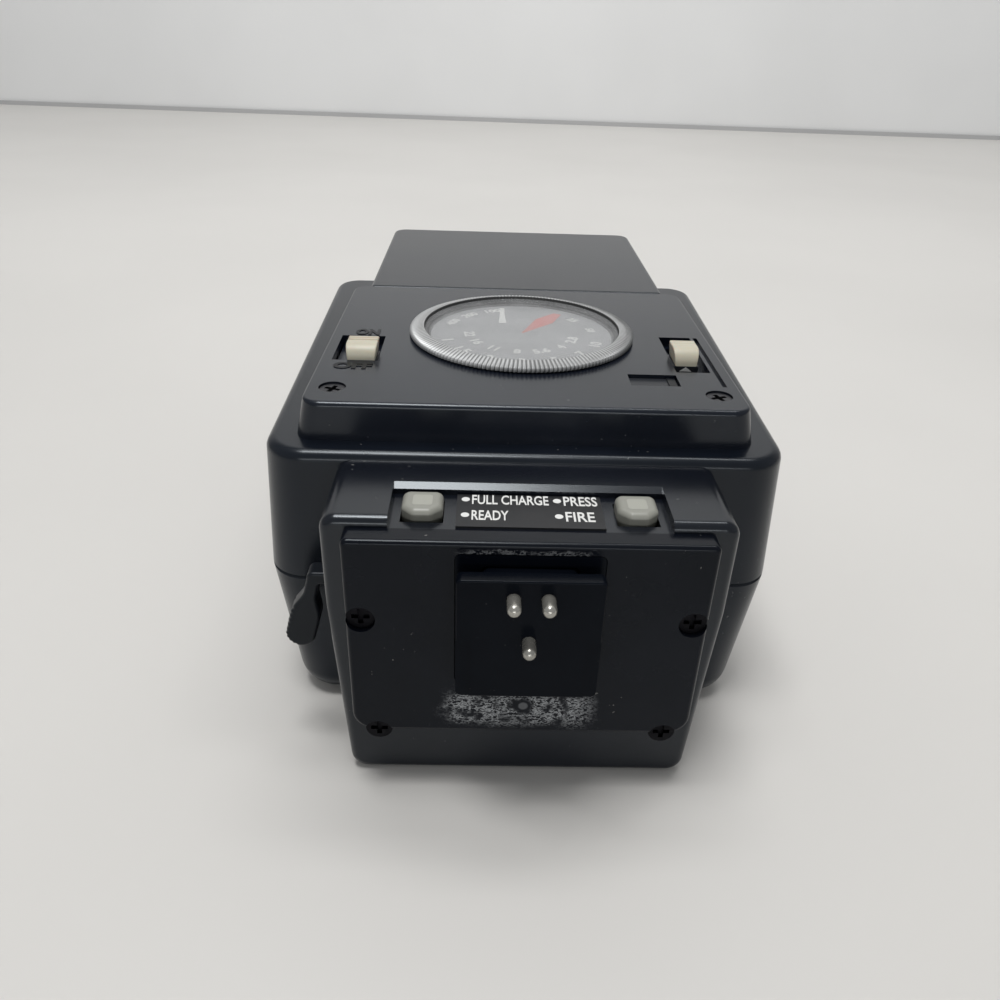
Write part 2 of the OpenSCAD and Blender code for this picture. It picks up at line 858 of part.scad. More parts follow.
module slide_switch(x0, x1, stem_x, y, length) {
    difference() {
        box([max(x0 - switch_rim, -panel_inner), y - switch_rim, switch_low],
            [min(x1 + switch_rim, panel_inner), y + length + switch_rim, skin_z]);
        box([stem_x - stem_half - slip, y + cap_len / 2 - stem_half - seat, skin_z - stem_len - seat],
            [stem_x + stem_half + slip, y + length - cap_len / 2 + stem_half + seat, wide]);
    }
}

module power_slider() {
    color("#e6e2cf")
        slider(-power_x, panel_y + power_y, cap_w);
}

module mode_slider() {
    color("#e6e2cf")
        slider(mode_mid, panel_y + mode_y + mode_rest, mode_cap_w);
}

module power_switch() {
    color("#202124")
        slide_switch(-power_x - cap_w / 2 - power_strip, -power_x + cap_w / 2, -power_x,
                     panel_y + power_y, power_len);
}

module mode_switch() {
    color("#202124")
        slide_switch(mode_x - cap_w / 2, mode_x + cap_w / 2, mode_mid, panel_y + mode_y, mode_len);
}

module switch_board() {
    color("#5d4a22")
        box([-opening_half + seat, opening_y + seat, switch_low - board_t],
            [opening_half - seat, opening_end - seat, switch_low]);
}

// Base, drawn in by inset: full width over its upper part, narrowing to its front edge
module base_block(inset, y, length) {
    low = base_low_w / 2 - inset;
    high = base_w / 2 - inset;
    low_z = base_lift + inset;
    bend_z = foot_z - bend_drop;
    top_z = base_h - inset;
    top_r = base_r - top_r_less;
    along_y(y, length)
        rounded_outline([[-low, low_z], [low, low_z], [high, bend_z], [high, top_z],
                         [-high, top_z], [-high, bend_z]],
                        [base_r, base_r, 0, top_r, top_r, 0]);
}

module base_outer() {
    half = base_w / 2;
    intersection() {
        base_block(0, base_y, base_depth);
        linear_extrude(base_h)
            rounded_outline(rectangle(-half, base_y, half, body_y), [base_near_r, base_near_r, 0, 0]);
        along_x(-half - past, 2 * half + 2 * past)
            rounded_outline(rectangle(base_y, base_lift, body_y, base_h), [base_edge_r, 0, 0, base_edge_r]);
    }
}

module base_housing() {
    color("#15171b")
        difference() {
            union() {
                difference() {
                    base_outer();
                    intersection() {
                        base_block(base_wall, base_y + base_wall, base_depth - 2 * base_wall);
                        slab(0, key_floor);
                    }
                    box([-mouth_half, base_y - past, mouth_low],
                        [mouth_half, base_y + base_wall + past, key_floor]);
                }
                intersection() {
                    base_outer();
                    union() {
                        for (at = cover_screws_at)
                            rod_y(at[0], base_y + base_wall / 2, at[1], boss_r, post_len - base_wall / 2);
                        for (side = [-1, 1])
                            shelf(side);
                    }
                }
            }
            for (at = cover_screws_at)
                rod_y(at[0], base_y - past, at[1], screw_d / 2 + running, post_len - slip + past);
            for (side = [-1, 1])
                rod_y(side * low_screw_x, base_y - past, low_screw_z,
                      screw_head_d / 2 + seat, past + base_edge_r);
            box([-recess_half, base_y - past, recess_z], [recess_half, base_y + recess_len, wide]);
            for (side = [-1, 1])
                key_box(side * key_x, slip, key_floor - past, base_h);
            box([-wide, lever_y - seat, lever_slot_low],
                [-base_w / 2 + base_wall + past, lever_y + lever_t + seat, lever_slot_top]);
            for (at = base_screws_at)
                rod_y(at[0], body_y - base_wall - past, at[1], screw_d / 2 + slip, base_wall + 2 * past);
        }
}

// Rib on the base's side wall that carries the lamp or the button's switch
module shelf(side) {
    inner = side * shelf_in;
    outer = side * (base_w / 2 - base_wall / 2);
    box([min(inner, outer), base_y + seat, shelf_z - shelf_t], [max(inner, outer), lever_y - seat, shelf_z]);
}

module key_box(x, gap, low_z, high_z) {
    box([x - key_w / 2 - gap, key_y - gap, low_z], [x + key_w / 2 + gap, key_y + key_w + gap, high_z]);
}

module base_screws() {
    color("#77787a")
        for (at = base_screws_at)
            translate([at[0], body_y - base_wall, at[1]])
                rotate([90, 0, 0])
                    screw(base_wall + wall + base_thread / 2);
}

module bottom_cover() {
    half = cover_w / 2;
    color("#16181c")
        difference() {
            along_y(cover_y, cover_t)
                rounded_outline(rectangle(-half, cover_low, half, recess_z),
                                [cover_r, cover_r, plate_r, plate_r]);
            for (at = cover_screws_at) {
                rod_y(at[0], cover_y - past, at[1], screw_d / 2 + slip, cover_t + 2 * past);
                rod_y(at[0], cover_y - past, at[1], screw_head_d / 2 + slip, cover_seat - cover_y + past);
            }
            clamp_outline(slip, cover_y - past, clamp_t + slip + past);
            rod_y(0, cover_y, foot_z, boss_d / 2 + running, cover_t + past);
            for (pin = pins)
                rod_y(pin[0], cover_y, foot_z + pin[1], pin_d / 2 + slip, cover_t + past);
            for (side = [-1, 1])
                rod_y(side * peg_x, cover_y, foot_z, peg_r + slip, cover_t + past);
        }
}

module clamp_outline(gap, y, length) {
    half = neck_w / 2 + clamp_rim + gap;
    rise = neck_len / 2 + clamp_end + gap;
    along_y(y, length)
        rounded_outline(rectangle(-half, foot_z - rise, half, foot_z + rise),
                        [plate_r, plate_r, plate_r, plate_r]);
}

// Plate round the foot's neck, with two pegs that reach back to the lever's hub
module clamp_plate() {
    color("#1b1c20") {
        difference() {
            clamp_outline(0, cover_y, clamp_t);
            neck_block(seat, cover_y - past, clamp_t + 2 * past);
        }
        for (side = [-1, 1])
            rod_y(side * peg_x, cover_floor - joined, foot_z, peg_r, lever_y - cover_floor - slip);
    }
}

module neck_block(gap, y, length) {
    half = neck_w / 2 + gap;
    rise = neck_len / 2 + gap;
    along_y(y, length)
        rounded_outline(rectangle(-half, foot_z - rise, half, foot_z + rise),
                        [neck_r, neck_r, neck_r, neck_r]);
}

module cover_screws() {
    color("#242528")
        for (at = cover_screws_at)
            translate([at[0], cover_seat, at[1]])
                rotate([90, 0, 0])
                    screw(base_y + post_len - seat - cover_seat);
}

module label_strip() {
    color("#101114")
        box([-label_half, base_y + seat, recess_z],
            [label_half, base_y + recess_len - seat, recess_z + label_t]);
}

module check_lamp() {
    color([0.78, 0.79, 0.76, 0.7])
        key_box(-key_x, 0, key_floor, recess_z + key_out);
}

module lamp_bulb() {
    color([0.9, 0.6, 0.4, 0.6])
        rod_z(-key_x, key_mid, shelf_z, bulb_r, key_floor - seat - shelf_z);
}

// Button with a flange below the recess's floor and a short stem over the switch
module test_button() {
    color([0.82, 0.83, 0.8, 0.8]) {
        key_box(key_x, 0, key_floor - flange_t / 2, recess_z + key_out);
        key_box(key_x, flange, key_floor - flange_t, key_floor - slip);
        rod_z(key_x, key_mid, key_floor - key_stem_len, key_stem_r, key_stem_len - flange_t / 2);
    }
}

module button_spring() {
    color("#b9babd")
        translate([key_x, key_mid, spring_low])
            difference() {
                cylinder(r = spring_r, h = spring_len);
                translate([0, 0, -past])
                    cylinder(r = spring_r - spring_wire, h = spring_len + 2 * past);
            }
}

module test_switch() {
    color("#2c2d30")
        box([key_x - switch_half, key_mid - switch_half, shelf_z],
            [key_x + switch_half, lever_y - base_edge_r, spring_low]);
}

module shoe_foot() {
    half = foot_w / 2;
    rise = foot_len / 2;
    color("#1a1b1f")
        difference() {
            union() {
                along_y(foot_y, foot_t)
                    rounded_outline(rectangle(-half, foot_z - rise, half, foot_z + rise),
                                    [plate_r, plate_r, plate_r, plate_r]);
                neck_block(0, foot_y + foot_t - joined, cover_floor - foot_y - foot_t + joined);
                rod_y(0, cover_floor - joined, foot_z, boss_d / 2, boss_end - cover_floor + joined);
                rod_y(0, boss_end - joined, foot_z, thread_r, thread_len + joined);
            }
            for (x = [-half - past, half - rebate_w])
                box([x, foot_y - past, foot_z - rise - past],
                    [x + rebate_w + past, foot_y + rebate_depth, foot_z]);
            for (pin = pins)
                rod_y(pin[0], foot_y - past, foot_z + pin[1], pin_d / 2 + running, base_depth);
            rod_y(0, base_y + slip, foot_z, chamber_r, base_depth);
        }
}

module foot_nut() {
    color("#8b8c8e")
        difference() {
            translate([0, boss_end + slip, foot_z])
                rotate([-90, 0, 0])
                    cylinder(r = nut_r, h = nut_t, $fn = 6);
            rod_y(0, boss_end - past, foot_z, thread_r + running, nut_t + 2 * past);
        }
}

// Lever in the X-Z plane: hub on the foot's boss, arm out through the base's side, slanted paddle on a neck
module lock_lever() {
    elbow = [-elbow_x, foot_z - arm_drop];
    lean = [-sin(paddle_slant), -cos(paddle_slant)];
    side = [cos(paddle_slant), -sin(paddle_slant)];
    tip = elbow + lean * (paddle_len - paddle_w / 2);
    root = tip - lean * paddle_run;
    neck = elbow + lean * paddle_neck_len;
    color("#25272b")
        difference() {
            union() {
                rod_y(0, lever_y, foot_z, hub_r, lever_t);
                along_y(lever_y, lever_t) {
                    polygon([[-boss_d / 2, foot_z - arm_drop + arm_h / 2], elbow + [0, arm_h / 2],
                             elbow - [0, arm_h / 2], [-boss_d / 2, foot_z - arm_drop - arm_h / 2]]);
                    translate(elbow)
                        circle(d = arm_h);
                    polygon([elbow - side * paddle_neck / 2, elbow + side * paddle_neck / 2,
                             neck + side * paddle_neck / 2, root + side * paddle_w / 2,
                             tip + side * paddle_w / 2, tip - side * paddle_w / 2,
                             root - side * paddle_w / 2, neck - side * paddle_neck / 2]);
                    translate(tip)
                        circle(d = paddle_w);
                }
            }
            rod_y(0, lever_y - past, foot_z, boss_d / 2 + running, lever_t + 2 * past);
        }
}

module contact_block() {
    color("#3a2f28")
        difference() {
            box([-pin_x - block_h / 2, base_y, foot_z + pin_step - block_h / 2],
                [pin_x + block_h / 2, base_y + block_len, foot_z + pin_step + block_h / 2]);
            for (i = [1, 2])
                rod_y(pins[i][0], base_y - past, foot_z + pins[i][1], chamber_r, past + chamber_len);
            rod_y(0, base_y - past, foot_z, boss_d / 2 + slip, base_depth);
        }
}

module sync_contact() {
    color("#b08d3c")
        rod_y(0, base_y + chamber_len, foot_z,
              chamber_r - running, boss_end + thread_len - base_y - chamber_len);
}

// Pin with a domed tip, a collar behind the cover's floor
module contact_pin(i) {
    r = pin_d / 2;
    tip = foot_y - pin_out;
    x = pins[i][0];
    z = foot_z + pins[i][1];
    color("#c8c6bd") {
        rod_y(x, tip + r, z, r, base_y + slip - tip - r + joined);
        translate([x, tip + r, z])
            sphere(r = r);
        rod_y(x, base_y + slip, z, collar_d / 2, collar_t);
    }
}

module contact_pin_centre() contact_pin(0);
module contact_pin_left() contact_pin(1);
module contact_pin_right() contact_pin(2);

module pin_spring(i) {
    y = base_y + slip + collar_t;
    r = collar_d / 2 - slip;
    color("#b9babd")
        difference() {
            rod_y(pins[i][0], y, foot_z + pins[i][1], r, pin_spring_len);
            rod_y(pins[i][0], y - past, foot_z + pins[i][1], r - pin_spring_wire, pin_spring_len + 2 * past);
        }
}

module pin_spring_centre() pin_spring(0);
module pin_spring_left() pin_spring(1);
module pin_spring_right() pin_spring(2);

module battery_tray() {
    color("#23252a")
        difference() {
            intersection() {
                box([-tray_half - tray_wall, bay_y, wall],
                    [tray_half + tray_wall, door_y + bay_len + tray_wall, tray_top]);
                body_block(wall);
            }
            box([-tray_half, door_y, 0], [tray_half, door_y + bay_len, tray_top - tray_wall]);
        }
}

// Cells lie side by side along Y, every second one turned round
module battery_cell(i) {
    turned = i % 2;
    y = door_y + strip_t + slip + (turned ? coil_h : 0);
    x = (i - 1.5) * cell_pitch;
    color("#7d8288") {
        rod_y(x, y + (turned ? 0 : nub), cell_z, cell_d / 2, cell_len - nub);
        rod_y(x, turned ? y + cell_len - nub - joined : y, cell_z, nub_r, nub + joined);
    }
}

module battery_cell_1() battery_cell(0);
module battery_cell_2() battery_cell(1);
module battery_cell_3() battery_cell(2);
module battery_cell_4() battery_cell(3);

// Contact strips on the tray's end walls, with a spring at each cell's flat end
module contact_strips(y, coils_from, coil_dir) {
    for (pair = [-1, 1])
        box([(pair - 1) * cell_pitch + strip_inset, y, cell_z - strip_half],
            [(pair + 1) * cell_pitch - strip_inset, y + strip_t, cell_z + strip_half]);
    for (i = coils_from)
        rod_y((i - 1.5) * cell_pitch, coil_dir > 0 ? y + strip_t - joined : y - coil_h + joined,
              cell_z, coil_r, coil_h);
}

module near_contacts() {
    color("#c9c4b0")
        contact_strips(door_y, [1, 3], 1);
}

module far_contacts() {
    color("#c9c4b0")
        contact_strips(door_y + bay_len - strip_t, [0, 2], -1);
}

module main_board() {
    color("#4f5a2c")
        box([-board_half, board_y, board_z], [board_half, board_end, board_face]);
}

module main_capacitor() {
    color("#20242e")
        along_x(-capacitor_len / 2, capacitor_len)
            translate([capacitor_y, tray_top + seat + capacitor_d / 2])
                circle(d = capacitor_d);
}

module transformer() {
    y = board_y + core_t;
    color("#8a6a2f") {
        for (side = [0, core_t + core_gap])
            box([-core_half, y + side, board_face],
                [core_half, y + side + core_t, board_face + transformer_h]);
        rod_y(0, y + core_t - joined, board_face + transformer_h / 2,
              transformer_h / 2 - winding_in, core_gap + 2 * joined);
    }
}

module trigger_coil() {
    color("#9c3b2a")
        rod_z(coil_at[0], coil_at[1], board_face, trigger_r, trigger_len);
}

module power_transistor() {
    color("#26272a")
        translate([transistor_at[0], transistor_at[1], board_face]) {
            cube(transistor_size);
            translate([0, transistor_size[1] - joined, tab_rise])
                cube([transistor_size[0], tab_t, transistor_size[2]]);
        }
}

module flash_window() {
    color([0.9, 0.92, 0.93, 0.5])
        union() {
            box([-window_w / 2 + slip, window_y + slip, sunk],
                [window_w / 2 - slip, window_y + window_len - slip, wall + joined]);
            box([-window_w / 2 - window_flange, window_y - window_flange, wall],
                [window_w / 2 + window_flange, window_y + window_len + window_flange, wall + window_back]);
        }
}

// Half-round trough over the window, with flat cheeks that carry the tube's ends
module reflector() {
    outer = reflector_r + reflector_t;
    half = tube_len / 2 - cheek_in;
    color("#d6d8da")
        difference() {
            trough(outer, -half, 2 * half);
            trough(reflector_r, -half + reflector_t, 2 * half - 2 * reflector_t);
            tube_hole(running, tube_len);
        }
}

module trough(r, x, length) {
    along_x(x, length)
        intersection() {
            translate([window_mid, mouth_z])
                circle(r = r);
            translate([window_mid - r, mouth_z - (r > reflector_r ? 0 : past)])
                square([2 * r, 2 * r]);
        }
}

module tube_hole(gap, length) {
    along_x(-length / 2, length)
        translate([window_mid, mouth_z + tube_rise])
            circle(d = tube_d + 2 * gap);
}

module flash_tube() {
    color([0.92, 0.93, 0.95, 0.5])
        tube_hole(0, tube_len);
}

module tube_caps() {
    color("#a9aaac")
        for (side = [-1, 1])
            along_x(side > 0 ? tube_len / 2 : -tube_len / 2 - tube_cap_len, tube_cap_len)
                translate([window_mid, mouth_z + tube_rise])
                    circle(d = tube_d);
}

module sensor_lens() {
    color([0.35, 0.2, 0.2, 0.7]) {
        rod_z(0, sensor_y, sensor_drop, sensor_d / 2 - slip, wall - sensor_drop + joined);
        rod_z(0, sensor_y, wall, sensor_d / 2 + sensor_rim, sensor_rim);
    }
}

module sensor_cell() {
    color("#2e3034")
        rod_z(0, sensor_y, wall + sensor_rim, sensor_d / 4, sensor_d / 2);
}

front_shell();
rear_shell();
shell_screws();
control_panel();
panel_screws();
panel_window();
dial_scale();
dial_ring();
dial_glass();
scale_rivet();
power_slider();
mode_slider();
power_switch();
mode_switch();
switch_board();
base_housing();
base_screws();
bottom_cover();
cover_screws();
label_strip();
check_lamp();
lamp_bulb();
test_button();
test_switch();
button_spring();
shoe_foot();
foot_nut();
clamp_plate();
lock_lever();
contact_block();
sync_contact();
contact_pin_centre();
contact_pin_left();
contact_pin_right();
pin_spring_centre();
pin_spring_left();
pin_spring_right();
battery_tray();
battery_door();
battery_cell_1();
battery_cell_2();
battery_cell_3();
battery_cell_4();
near_contacts();
far_contacts();
main_board();
main_capacitor();
transformer();
trigger_coil();
power_transistor();
flash_window();
reflector();
flash_tube();
tube_caps();
sensor_lens();
sensor_cell();
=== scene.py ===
import math

import bmesh
import bpy
import numpy as np
from mathutils import Matrix, Vector


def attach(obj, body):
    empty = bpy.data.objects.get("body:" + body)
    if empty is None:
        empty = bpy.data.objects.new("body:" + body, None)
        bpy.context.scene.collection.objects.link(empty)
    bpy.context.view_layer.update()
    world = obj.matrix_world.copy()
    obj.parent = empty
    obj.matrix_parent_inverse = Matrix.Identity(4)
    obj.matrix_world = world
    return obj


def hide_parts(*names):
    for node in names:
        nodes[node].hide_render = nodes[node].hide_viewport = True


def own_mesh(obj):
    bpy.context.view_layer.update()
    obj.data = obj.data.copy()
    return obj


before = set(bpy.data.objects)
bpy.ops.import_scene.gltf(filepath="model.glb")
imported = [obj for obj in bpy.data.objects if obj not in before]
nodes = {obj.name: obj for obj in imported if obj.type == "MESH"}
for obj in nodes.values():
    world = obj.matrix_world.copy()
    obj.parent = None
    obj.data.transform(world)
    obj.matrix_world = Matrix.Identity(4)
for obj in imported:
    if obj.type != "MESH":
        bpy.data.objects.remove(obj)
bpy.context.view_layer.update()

scene = bpy.context.scene
mm = 0.001
print("frame loaded:", len(nodes), "nodes")

# the camera stands where a fit to the flash's edges puts it, in millimetres and degrees
view = {"place": (-6.457, -147.61, 99.76), "yaw": 1.55, "pitch": 30.40, "roll": -1.98,
        "lens": 29.746, "sensor": 36, "clip": 5}


def placeCamera():
    yaw, pitch, roll = (math.radians(view[key]) for key in ("yaw", "pitch", "roll"))
    level = Vector((math.cos(yaw), -math.sin(yaw), 0))
    ahead = Vector((math.sin(yaw) * math.cos(pitch), math.cos(yaw) * math.cos(pitch),
                    -math.sin(pitch)))
    down = ahead.cross(level)
    right = level * math.cos(roll) + down * math.sin(roll)
    up = level * math.sin(roll) - down * math.cos(roll)
    optics = bpy.data.cameras.new("camera")
    optics.sensor_width = view["sensor"]
    optics.lens = view["lens"]
    optics.clip_start = view["clip"] * mm
    camera = bpy.data.objects.new("camera", optics)
    turn = Matrix((right, up, -ahead)).transposed().to_4x4()
    camera.matrix_world = Matrix.Translation(Vector(view["place"]) * mm) @ turn
    scene.collection.objects.link(camera)
    scene.camera = camera


placeCamera()
scene.view_settings.view_transform = "Standard"

# places that several pieces share, in millimetres: x and y on the panel, x and z on the foot's side
dialCentre = (0, -8.5)
dialBore = 16.8
dialTeeth = 170
pinPlaces = {"centre": (0, 31.4), "left": (-2.15, 38.1), "right": (2.15, 38.1)}
footAxis = pinPlaces["centre"]
lowScrew = (20.3, 11.2)
keyMiddle = 14
bothSides = (-1, 1)


# values go to sockets as they are, and wires are linked to them
def plug(tree, sockets, values):
    for key, value in values.items():
        if isinstance(value, Wire):
            tree.links.new(value.socket, sockets[key])
        else:
            sockets[key].default_value = value


# a socket of a node tree: sums on it add Math nodes, and node() adds any other node
class Wire:
    def __init__(self, tree, socket=None):
        self.tree = tree
        self.socket = socket

    def node(self, kind, settings=(), inputs=(), out=0):
        made = self.tree.nodes.new(kind)
        for key, value in dict(settings).items():
            setattr(made, key, value)
        plug(self.tree, made.inputs, dict(inputs))
        return Wire(self.tree, made.outputs[out])

    def math(self, operation, *values):
        return self.node("ShaderNodeMath", {"operation": operation}, enumerate((self,) + values))

    def __add__(self, other):
        return self.math("ADD", other)

    __radd__ = __add__

    def __sub__(self, other):
        return self.math("SUBTRACT", other)

    def __rsub__(self, other):
        return self * -1 + other

    def __mul__(self, other):
        return self.math("MULTIPLY", other)

    def __truediv__(self, other):
        return self.math("DIVIDE", other)

    def size(self):
        return self.math("ABSOLUTE")

    def parts(self):
        split = self.node("ShaderNodeSeparateXYZ", (), {0: self}).socket.node
        return [Wire(self.tree, split.outputs[number]) for number in range(3)]

    # 0 below low, 1 above high, and a smooth rise between them
    def step(self, low, high):
        return self.node("ShaderNodeMapRange", {"interpolation_type": "SMOOTHSTEP"},
                         {"Value": self, "From Min": low, "From Max": high})

    def mix(self, first, second):
        inputs = {0: self, 6: first, 7: second}
        return self.node("ShaderNodeMix", {"data_type": "RGBA"}, inputs, out=2)

    def noise(self, scale, detail=2.0, rough=0.5, stretch=(1, 1, 1)):
        at = self.node("ShaderNodeMapping", (), {"Vector": self, "Scale": stretch})
        inputs = {"Vector": at, "Scale": scale, "Detail": detail, "Roughness": rough}
        return self.node("ShaderNodeTexNoise", (), inputs)

    def bump(self, strength, distance):
        inputs = {"Height": self, "Strength": strength, "Distance": distance}
        return self.node("ShaderNodeBump", (), inputs)


# a paint's node tree, its shader and a wire with the place on the object
def paintParts(paint):
    tree = paint.node_tree
    where = Wire(tree).node("ShaderNodeTexCoord", out="Object")
    return tree, tree.nodes["Principled BSDF"], where


def newPaint(name):
    paint = bpy.data.materials.new(name)
    paint.use_nodes = True
    return (paint,) + paintParts(paint)


def feed(tree, shader, **inputs):
    plug(tree, shader.inputs, {key.replace("_", " "): value for key, value in inputs.items()})


def solid(colour, share=1.0, lift=0.0):
    return tuple(c * share + lift for c in colour) + (1,)


def grey(level):
    return (level, level, level, 1)


satin = {"cloud": 34, "grain": 5200, "specks": 1700, "speckPatch": 120, "rubs": 600,
         "grainStrength": 0.1, "grainDepth": 0.02, "rubTint": 0.12,
         "speckTint": (0.22, 0.215, 0.2, 1), "glossTint": (0.90, 0.96, 1.0, 1)}


# satin moulded plastic: fine moulded grain, cloudy gloss, dust and hairline rubs
def satinPlastic(name, colour, rough, specular, dust=0.5, rubs=0.4):
    s = satin
    paint, tree, shader, where = newPaint(name)
    cloud = where.noise(s["cloud"], 4, 0.6)
    fine = where.noise(s["grain"], 2, 0.6)
    patches = where.noise(s["speckPatch"], 2).step(0.45, 0.7)
    specks = where.noise(s["specks"], 1, 0.4).step(0.76, 0.79) * patches * dust
    lines = where.noise(s["rubs"], 2, 0.5, (0.05, 1, 1)).step(0.70, 0.75)
    scratch = lines * cloud.step(0.5, 0.7) * rubs
    base = cloud.step(0.3, 0.75).mix(solid(colour), solid(colour, 1.4, 0.002))
    base = (scratch * 0.12).mix(base, grey(s["rubTint"]))
    feed(tree, shader, Base_Color=specks.mix(base, s["speckTint"]),
         Roughness=rough - 0.03 + cloud * 0.06 + specks * 0.3 + scratch * 0.08,
         Normal=(fine + scratch * -0.4).bump(s["grainStrength"], s["grainDepth"] * mm),
         Specular_IOR_Level=specular, Specular_Tint=s["glossTint"])
    return paint


# chalky scuffs on the cover below and above the foot, and a small round mark in the lower one
scuffs = {"spots": [{"x": -0.6, "z": 16.0, "half": 11.5, "tall": 4.0, "weight": 1.0},
                    {"x": -0.4, "z": 42.2, "half": 9.0, "tall": 0.7, "weight": 0.4}],
          "mark": (0.05, 16.55), "markRim": (0.5, 0.8), "markClear": (0.9, 1.8),
          "markWeight": 0.3, "ragged": 4, "tint": (0.30, 0.31, 0.32, 1)}


# cover plate: satin plastic with its scuffs drawn as thin wriggling lines
def scuffedPlastic(name, colour, rough, specular, dust):
    s = scuffs
    paint = satinPlastic(name, colour, rough, specular, dust)
    tree, shader, where = paintParts(paint)
    x, _, z = where.parts()
    ragged = where.noise(420, 3, 0.7) * (s["ragged"] * mm) - s["ragged"] / 2 * mm
    wriggle = (where.noise(1900, 3, 0.7, (0.5, 1, 1)) - 0.5).size()
    chalk = (1 - wriggle.step(0.01, 0.07)) * where.noise(600, 2).step(0.3, 0.55)
    mask = 0
    for spot in s["spots"]:
        across = (x + ragged - spot["x"] * mm).size() / (spot["half"] * mm)
        tall = (z + ragged * 0.5 - spot["z"] * mm).size() / (spot["tall"] * mm)
        mask = (1 - across.step(0.7, 1.0)) * (1 - tall.step(0.35, 1.0)) * spot["weight"] + mask
    markX, markZ = x - s["mark"][0] * mm, z - s["mark"][1] * mm
    away = (markX * markX + markZ * markZ).math("SQRT")
    dot = (1 - away.step(*(edge * mm for edge in s["markRim"]))) * s["markWeight"]
    clear = away.step(*(edge * mm for edge in s["markClear"]))
    mask = (mask * chalk * clear).math("MAXIMUM", dot)
    plain = {key: Wire(tree, shader.inputs[key].links[0].from_socket)
             for key in ("Base Color", "Roughness")}
    feed(tree, shader, Base_Color=mask.mix(plain["Base Color"], s["tint"]),
         Roughness=plain["Roughness"] + mask * 0.3)
    return paint


def plainPlastic(name, colour, rough, grime=0.25, **constants):
    paint, tree, shader, where = newPaint(name)
    cloud = where.noise(180, 3, 0.6)
    fine = where.noise(2800, 2)
    base = (cloud.step(0.5, 0.8) * grime).mix(solid(colour), solid(colour, 0.62))
    feed(tree, shader, Base_Color=base, Roughness=rough - 0.06 + cloud * 0.12,
         Normal=fine.bump(0.1, 0.03 * mm), **constants)
    return paint


def plainMetal(name, colour, rough, brushed=(1, 1, 1)):
    paint, tree, shader, where = newPaint(name)
    lines = where.noise(2400, 2, 0.6, brushed)
    tarnish = where.noise(380, 3, 0.6).step(0.5, 0.75)
    base = (tarnish * 0.5).mix(solid(colour), solid(colour, 0.55))
    feed(tree, shader, Base_Color=base, Metallic=1.0,
         Roughness=rough + tarnish * 0.2 + lines * 0.06, Normal=lines.bump(0.12, 0.02 * mm))
    return paint


# thin clear plastic: see-through, with a haze that fine dust and rubbing leave
def clearPlastic(name, colour, alpha, rough, haze=0.2):
    paint, tree, shader, where = newPaint(name)
    cloud = where.noise(120, 4, 0.65)
    lint = where.noise(1500, 2).step(0.68, 0.74)
    feed(tree, shader, Base_Color=(lint * 0.5).mix(solid(colour), grey(0.9)),
         Roughness=rough + cloud * 0.08,
         Alpha=alpha + cloud.step(0.35, 0.75) * haze + lint * 0.15)
    return paint


# silver ring: fine lines that run out from the dial's centre, with painted sheen along them, and
# painted shade that makes the wall inside the bore near black
def ringPaint(name, colour):
    paint, tree, shader, where = newPaint(name)
    x, y, _ = where.parts()
    x, y = x - dialCentre[0] * mm, y - dialCentre[1] * mm
    radius = (x * x + y * y).math("SQRT")
    lines = (y.math("ARCTAN2", x) * dialTeeth).math("SINE")
    cloud = where.noise(260, 3)
    # painted sheen: the silver's colour drops to 0.3 of itself where the lines and the cloud are
    # low
    lineSheen = (lines * 0.5 + cloud * 0.8).step(-0.1, 0.9)
    silver = lineSheen.mix(solid(colour, 0.3), solid(colour))
    # painted shade: inside the bore the ring is painted near black
    outside = radius.step((dialBore + 0.03) * mm, (dialBore + 0.1) * mm)
    feed(tree, shader, Base_Color=outside.mix(grey(0.03), silver), Metallic=0.3,
         Roughness=0.34 + cloud * 0.1, Normal=lines.bump(0.5, 0.04 * mm))
    return paint


